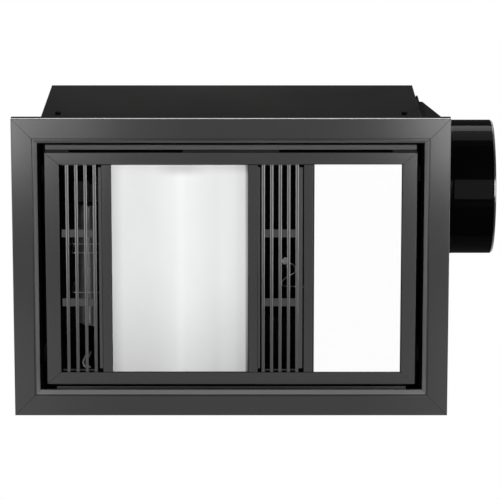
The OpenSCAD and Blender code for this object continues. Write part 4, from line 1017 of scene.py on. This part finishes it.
# %% [markdown]
# ## The fan wheels
# The small wheel behind the left grille blows the warm air down, and its curved blades are the
# bright streaks between the bars. The large one, behind the right grille, draws the damp air up
# into the duct. Both are the same thing: one curved blade, repeated evenly round an axis. A tree
# takes the blade and the count, and the discs and the hub are turned.

# %% A tree for a ring of blades
BLADE_STEPS, BLADE_SINK = 7, 0.6


def blade_ring_tree():
    tree, given, end, sockets = new_tree("ring of blades", {
        "Blade": "Object", "Count": "Int", "Material": "Material"})
    info = add(tree, "GeometryNodeObjectInfo", Object=given["Blade"])
    points = add(tree, "GeometryNodePoints", Count=given["Count"])
    index = add(tree, "GeometryNodeInputIndex").outputs[0]
    angle = math_node(tree, "DIVIDE", math_node(tree, "MULTIPLY", index, 2 * math.pi),
                      given["Count"])
    stand = add(tree, "GeometryNodeInstanceOnPoints", Points=points.outputs[0],
                Instance=info.outputs["Geometry"], Rotation=vector_of(tree, z=angle))
    closing_nodes(tree, stand.outputs[0], given["Material"], end)
    return tree, sockets


blade_setup = blade_ring_tree()


def curved_blade(inner, outer, low, high, thick, sweep, steps=BLADE_STEPS):
    """A blade between two radii and two heights, in mm, that bends forward by a sweep angle."""
    rings = []
    for t in (i / steps for i in range(steps + 1)):
        radius, bend = inner + (outer - inner) * t, math.radians(sweep) * (t * t - 0.5)
        angles = (bend - thick / radius / 2, bend + thick / radius / 2)
        rings.append([Vector((radius * math.cos(a), radius * math.sin(a), z)) * MM
                      for a, z in zip((*angles, *angles[::-1]), (low, low, high, high))])
    return linked("blade", loft("blade", rings))


def disc(inner, outer, low, high):
    """A flat ring as a turned mesh about Z, with sizes in mm."""
    soft = min(DISC_EDGE, (high - low) / 3)
    return turned("disc", [(low, inner), (low, outer - soft), (low + soft, outer),
                           (high - soft, outer), (high, outer - soft), (high, inner)],
                  steps=DISC_STEPS)


def wheel(name, node, blade, count, discs, place, slot, body):
    ring = grown(blade_setup, name, {"Blade": blade, "Count": count, "Material": materials[slot]})
    mesh = joined(name, [ring] + discs)
    mesh.transform(place)
    bpy.data.objects.remove(blade)
    place_piece(name, mesh, body, slot, [node])
    print(name, count, "blades,", len(mesh.polygons), "faces")


# %% The circulation wheel
WHEEL_R, WHEEL_AXLE_R, WHEEL_BLADES, DISC_THICK = 19.0, 2.5, 20, 1.5
SLEEVE_R, SLEEVE_LENGTH = 5.5, 10
wheel_low, wheel_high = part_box("fan_wheel")
wheel_end = (wheel_high.y - wheel_low.y) / 2 / MM
wheel_discs = [disc(WHEEL_AXLE_R, WHEEL_R, z, z + DISC_THICK)
               for z in (-wheel_end, -DISC_THICK / 2, wheel_end - DISC_THICK)]
wheel_discs += [disc(WHEEL_AXLE_R, SLEEVE_R, z, z + SLEEVE_LENGTH)
                for z in (-wheel_end, wheel_end - SLEEVE_LENGTH)]
wheel("fan_wheel.bladed", "fan_wheel",
      curved_blade(inner=14.2, outer=18.9, low=BLADE_SINK - wheel_end,
                   high=wheel_end - BLADE_SINK, thick=0.7, sweep=16),
      WHEEL_BLADES, wheel_discs, Matrix.Translation((wheel_low + wheel_high) / 2)
      @ Matrix.Rotation(math.radians(-90), 4, "X"), "aluminium", "fan_rotor")

# %% The exhaust impeller
IMPELLER_R, IMPELLER_EYE, IMPELLER_BLADES, IMPELLER_H = 75.0, 62.0, 36, 60.0
HUB_R, SHAFT_R, HUB_LOW, HUB_H = 13.0, 4.0, 20.0, 26.0
impeller_low, impeller_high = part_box("exhaust_impeller")
impeller_mid = (impeller_low + impeller_high) / 2
hub_from = IMPELLER_H - HUB_LOW
# The galvanised impeller takes the near-black plastic here: painted shade of the housing's dark
# inside.
wheel("exhaust_impeller.bladed", "exhaust_impeller",
      curved_blade(inner=62.2, outer=74.7, low=BLADE_SINK, high=IMPELLER_H - BLADE_SINK,
                   thick=1.0, sweep=8), IMPELLER_BLADES,
      [disc(IMPELLER_EYE, IMPELLER_R, 0.0, DISC_THICK),
       disc(SHAFT_R, IMPELLER_R, IMPELLER_H - DISC_THICK, IMPELLER_H),
       disc(SHAFT_R, HUB_R, hub_from, hub_from + HUB_H)],
      Matrix.Translation((impeller_mid.x, impeller_mid.y, impeller_low.z)), "black_plastic",
      "exhaust_rotor")

# %% [markdown]
# ## The rest of the works
# What is left keeps the shape of its solid: the blower's scroll, the motors, the damper, the heater
# and the terminal box. Each gets its own small edge radius, and its curved faces are shaded smooth.

# %% Works behind the panel
WORKS_EDGES = {
    "damper_rod": 0.2, "damper_blade_front": 0.0, "damper_blade_back": 0.0, "scroll_wall": 0.0,
    "scroll_lid": 0.0, "exhaust_shaft": 0.4, "motor_case": 0.6, "motor_stator": 0.0,
    "motor_rotor": 0.0, "motor_bearings": 0.3, "fan_shaft": 0.2, "fan_bearing": 0.2,
    "reflector": 0.0, "reflector_hangers": 0.2, "heat_lamps": 0.0, "lamp_caps": 0.5,
    "lamp_holders": 0.25, "terminal_box": 0.6, "terminal_lid": 0.6,
}
works = rounded_copies(WORKS_EDGES, 2)
# The galvanised inlet ring takes the near-black plastic here: painted shade of the housing's dark
# inside.
works += rounded_copies({"inlet_ring": 0.0, "fan_casing": 0.2}, 2, slot="black_plastic")
works += rounded_copies({"fan_motor": 0.3}, 2)
# The fan's end plates take the near-black plastic too, as painted shade of the dark inside.
works += rounded_copies({"fan_end_front": 0.25, "fan_end_back": 0.25}, 2, slot="black_plastic")
print("works:", len(works), "pieces")

# %% [markdown]
# The terminal box has four screws in its long sides, near the top, and a gland for the supply
# cord. The gland is a hexagon nut and a ribbed cap, both turned; with few steps a turned shape is
# a prism.

# %% Terminal box fittings
GLAND_Z, GLAND_BORE, NUT_STEPS, CAP_STEPS = 260.8 * MM, 5.2, 6, 14
GLAND_NUT = [(-3.5, GLAND_BORE), (-3.5, 8.2), (-3.2, 8.6), (0.0, 8.6), (0.0, GLAND_BORE)]
GLAND_CAP = [(-11.0, GLAND_BORE), (-11.0, 6.2), (-10.2, 7.0), (-3.4, 7.0), (-3.4, GLAND_BORE)]
LID_SCREW, LID_SCREW_DROP, LID_SCREW_REACH = (1.2, 6, 2.4, 1.3), 5 * MM, 0.38
box_low, box_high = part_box("terminal_box")
box_mid = (box_low + box_high) / 2
for name, section, steps in (("gland_nut", GLAND_NUT, NUT_STEPS),
                             ("gland_cap", GLAND_CAP, CAP_STEPS)):
    place_piece(name, turned(name, section, (box_low.x, box_mid.y, GLAND_Z), "X", steps),
                "housing", "black_plastic")
screws("lid_screws", LID_SCREW,
       [((box_mid.x + sx * LID_SCREW_REACH * (box_high.x - box_low.x), y,
          box_high.z - LID_SCREW_DROP), (0, sy, 0))
        for sx in SIGNS for y, sy in ((box_low.y, -1), (box_high.y, 1))], "zinc_screws")
print("terminal box", in_mm(box_high - box_low), "mm")

# %% [markdown]
# The fan's casing ends in a lip that scrapes the air off the wheel. It is a thin black plate that
# starts at the casing's lower edge and hides the wheel's inner side from below.

# %% Lip of the fan casing
CASING_LIP_THICK, CASING_LIP_NOSE = 0.9 * MM, 0.3 * MM
LIP_OUT, LIP_IN = Vector((-135.6, 0, 22.0)) * MM, Vector((-146.2, 0, 18.3)) * MM


def casing_lip():
    low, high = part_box("fan_casing")
    along = (LIP_IN - LIP_OUT).normalized()
    below = Vector((-along.z, 0, along.x)) * CASING_LIP_THICK
    corners = [LIP_OUT, LIP_IN, LIP_IN + below / 2 + along * CASING_LIP_NOSE, LIP_IN + below,
               LIP_OUT + below]
    rings = [[(c.x, y, c.z) for c in corners] for y in (low.y, high.y)]
    return place_piece("fan_casing_lip", loft("fan_casing_lip", rings), "housing",
                       "black_plastic")


print("lip", round((LIP_OUT - LIP_IN).length / MM, 1), "mm wide,", casing_lip().name)

# %% [markdown]
# ## Leads inside
# Short leads show between the bars. White sleeved ones run from the ends of the heat lamps along
# the deck to the left end, and a thin sensor probe reaches across the inlet of the exhaust fan.
# Each is a curve with a round section, made a mesh, and both of its ends go into something.

# %% Inner leads
LEAD_R, PROBE_R, WIRE_R = 1.0, 0.7, 0.45
LAMP_IN, DECK_RISE, LEAD_STEP_X, LEAD_STEP_Z = 8.5, 16.5, 4, 2.4
# Each tail's points, in mm, with y measured outward
LEAD_TAILS = {
    "front": (-1, [(-140, 119, 46), (-156, 117, 46), (-163.7, 110.5, 45), (-161, 105, 49),
                   (-158, 103, 56)]),
    "back": (1, [(-140, 129, 48), (-157, 130, 46), (-164.5, 122, 45), (-163.2, 116.5, 50),
                 (-160, 113, 56)]),
}
PROBE_PATH = [(124, 36, 64.4), (118, 37, 60), (98, 38, 59), (75, 36.5, 58), (60, 36, 56),
              (54.5, 34, 54), (56, 28, 52), (63, 22, 50), (70, 20, 50), (71, 13, 50), (66, 8, 50),
              (61, 9, 50), (60.5, 14, 50), (64, 17, 50)]
lamp_low, lamp_high = (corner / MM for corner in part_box("lamp_caps"))
deck_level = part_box("deck_plate")[0].z / MM + DECK_RISE


def lead(name, points, radius, slot):
    """A round lead along points, in mm, that rides on the housing."""
    curve = bpy.data.curves.new(name, "CURVE")
    curve.dimensions = "3D"
    curve.bevel_depth, curve.bevel_resolution, curve.resolution_u = radius * MM, 3, 10
    curve.use_fill_caps = True
    spline = curve.splines.new("NURBS")
    spline.points.add(len(points) - 1)
    for item, point in zip(spline.points, points):
        item.co = (*(value * MM for value in point), 1)
    spline.use_endpoint_u, spline.order_u = True, 4
    holder = linked(name, curve)
    mesh = evaluated(holder)
    bpy.data.objects.remove(holder)
    mesh.name = name
    place_piece(name, mesh, "housing", slot)
    print(name, len(points), "points,", round(2 * radius, 1), "mm thick")


for end, (sign, tail) in LEAD_TAILS.items():
    cap_end = lamp_high.y if sign > 0 else -lamp_low.y
    for i, x in enumerate((lamp_low.x + LAMP_IN, lamp_high.x - LAMP_IN)):
        path = [(x, cap_end - 1, 36), (x - 2, cap_end + 5, 37)]
        shifted = [(x - 12, cap_end + 6, 41), *tail, (tail[-1][0], tail[-1][1] - 1, deck_level)]
        path += [(px + LEAD_STEP_X * i, py, pz + LEAD_STEP_Z * i) for px, py, pz in shifted]
        lead(f"lamp_lead_{end}_{i + 1}", [(px, sign * py, pz) for px, py, pz in path], LEAD_R,
             "silicone")
lead("inlet_probe", PROBE_PATH, PROBE_R, "zinc_screws")

# %% [markdown]
# Three thin bright wires guard the open side of the small wheel. Each comes down from the deck,
# turns under the wheel and ends in the casing's lip.

# %% Guard wires
GUARD_AT = (-20.4, -10.6, 33.5)
GUARD_PATH = [(-173, 64.4), (-173, 50), (-173, 19), (-172.5, 17.4), (-166, 17.3), (-148, 17.2),
              (-144, 18.4), (-140.5, 19.7)]
for i, y in enumerate(GUARD_AT):
    lead(f"guard_wire_{i + 1}", [(x, y, z) for x, z in GUARD_PATH], WIRE_R, "zinc_screws")

# %% [markdown]
# ## The room round it
# The unit is lit as in a studio. Matt fills light the face and the housing, and three more behind
# and beside it light the back and the floor. Soft boxes that show only in gloss lie where the
# satin paint mirrors them: two in the frame's upper corners, weak ones in its lower corners, one
# at each side for the edges of the bars, and three that draw the bands and the lip of the spigot.
# The background is the world, white to the camera and in reflections, and a plain pale floor lies
# far below the unit.

# %% World and floor
AMBIENT, FLOOR_LEVEL, FLOOR_HALF = 0.42, -5.4, 60.0


def studio_world():
    world = bpy.context.scene.world = bpy.data.worlds.new("studio")
    world.use_nodes = True
    tree = world.node_tree
    path = add(tree, "ShaderNodeLightPath").outputs
    seen = math_node(tree, "MAXIMUM", path["Is Camera Ray"], path["Is Glossy Ray"])
    seen = math_node(tree, "MAXIMUM", seen, path["Is Transmission Ray"])
    feed(tree, tree.nodes["Background"], Color=(1, 1, 1, 1),
         Strength=remap(tree, seen, AMBIENT, 1.0, 0.0, 1.0))


studio_world()
floor_mesh = bpy.data.meshes.new("floor")
floor_mesh.from_pydata([(x * FLOOR_HALF, y * FLOOR_HALF, FLOOR_LEVEL)
                        for x, y in ((-1, -1), (1, -1), (1, 1), (-1, 1))], [], [(0, 1, 2, 3)])
floor = linked("floor", floor_mesh)
finish("floor_paint", 226, 232, 4, (0.7, 0.8), 0.5, specular=0.2)
floor_mesh.materials.append(materials["floor_paint"])

# %% Lamps
PANEL_LEVEL = -3.37
UPRIGHT = (0, 1, 0)
DUCT_SPOT = (0.25, -0.06, 0.11)
GLOW_AIM = (0, 0, 0.15)
# Name, place, aim (None: straight up), size, radiance, what it shows on
LAMPS = [
    ("left softbox", (-0.88, -0.47, PANEL_LEVEL), None, (0.84, 2.06), 6, "gloss"),
    ("right softbox", (0.805, -0.47, PANEL_LEVEL), None, (0.84, 2.06), 6.6, "gloss"),
    ("upper fill", (0, -1.75, -2.33), (0, 0, 0), (2.6, 1.2), 5.2, "matt"),
    ("lower fill", (0, 1.75, -2.33), (0, 0, 0), (2.6, 1.2), 0.8, "matt"),
    ("rear glow", (0, 4.6, 2.3), GLOW_AIM, (4, 3), 3.4, "matt"),
    ("left glow", (-4.6, 0.6, 2.3), GLOW_AIM, (3, 4), 3.4, "matt"),
    ("right glow", (4.6, 0.6, 2.3), GLOW_AIM, (3, 4), 3.4, "matt"),
    ("low strip", (0, 1.2, PANEL_LEVEL), None, (0.78, 0.6), 0.2, "gloss"),
    ("housing glow", (-0.045, -0.46, 0.38), (-0.02, -0.156, 0.14), (0.3, 0.15), 18, "matt"),
    ("left shoulder", (-0.38, 0.16, PANEL_LEVEL), None, (0.16, 0.8), 2.2, "gloss"),
    ("left low", (-0.8, 1.19, PANEL_LEVEL), None, (0.8, 0.62), 0.7, "gloss"),
    ("right low", (0.8, 1.13, PANEL_LEVEL), None, (0.8, 0.58), 0.65, "gloss"),
    ("left edges", (-2.6, 0, -1.11), (-0.15, 0, 0), (1.3, 0.8), 7.5, "gloss", UPRIGHT),
    ("right edges", (2.6, 0, -1.11), (0.1, 0, 0), (1.3, 0.8), 10, "gloss", UPRIGHT),
    ("duct band", (0.25, -2.19, 1.9), DUCT_SPOT, (1.6, 0.88), 26, "gloss"),
    ("duct band tail", (0.25, -2.7, 0.98), DUCT_SPOT, (1.6, 1.1), 6.5, "gloss"),
    ("duct lip", (1.98, -0.35, -1.9), (0.28, -0.06, 0.05), (1.2, 1.2), 14, "gloss", UPRIGHT),
]


def soft_lamp(name, place, aim, size, radiance, shows, along=(1, 0, 0)):
    """An area lamp whose face has the given radiance, whatever its size. It shows only on "matt"
    paint or only in "gloss", and its width lies along a direction."""
    data = bpy.data.lights.new(name, "AREA")
    data.shape = "RECTANGLE"
    data.size, data.size_y = size
    data.energy = radiance * math.pi * size[0] * size[1]
    lamp = linked(name, data)
    back = (Vector(place) - Vector(aim or (*place[:2], 0))).normalized()
    side = Vector(along)
    side = (side - side.dot(back) * back).normalized()
    lamp.matrix_world = facing(place, side, back)
    lamp.visible_camera = False
    lamp.visible_diffuse = shows == "matt"
    lamp.visible_glossy = shows == "gloss"
    print(name, "radiance", radiance, "shows", shows)


for lamp_row in LAMPS:
    soft_lamp(*lamp_row)

# %% [markdown]
# ## Counts at the end
# The number of pieces and of their faces is printed.

# %% Counts
print("pieces:", len(pieces), "faces:", sum(len(p.data.polygons) for p in pieces.values()))
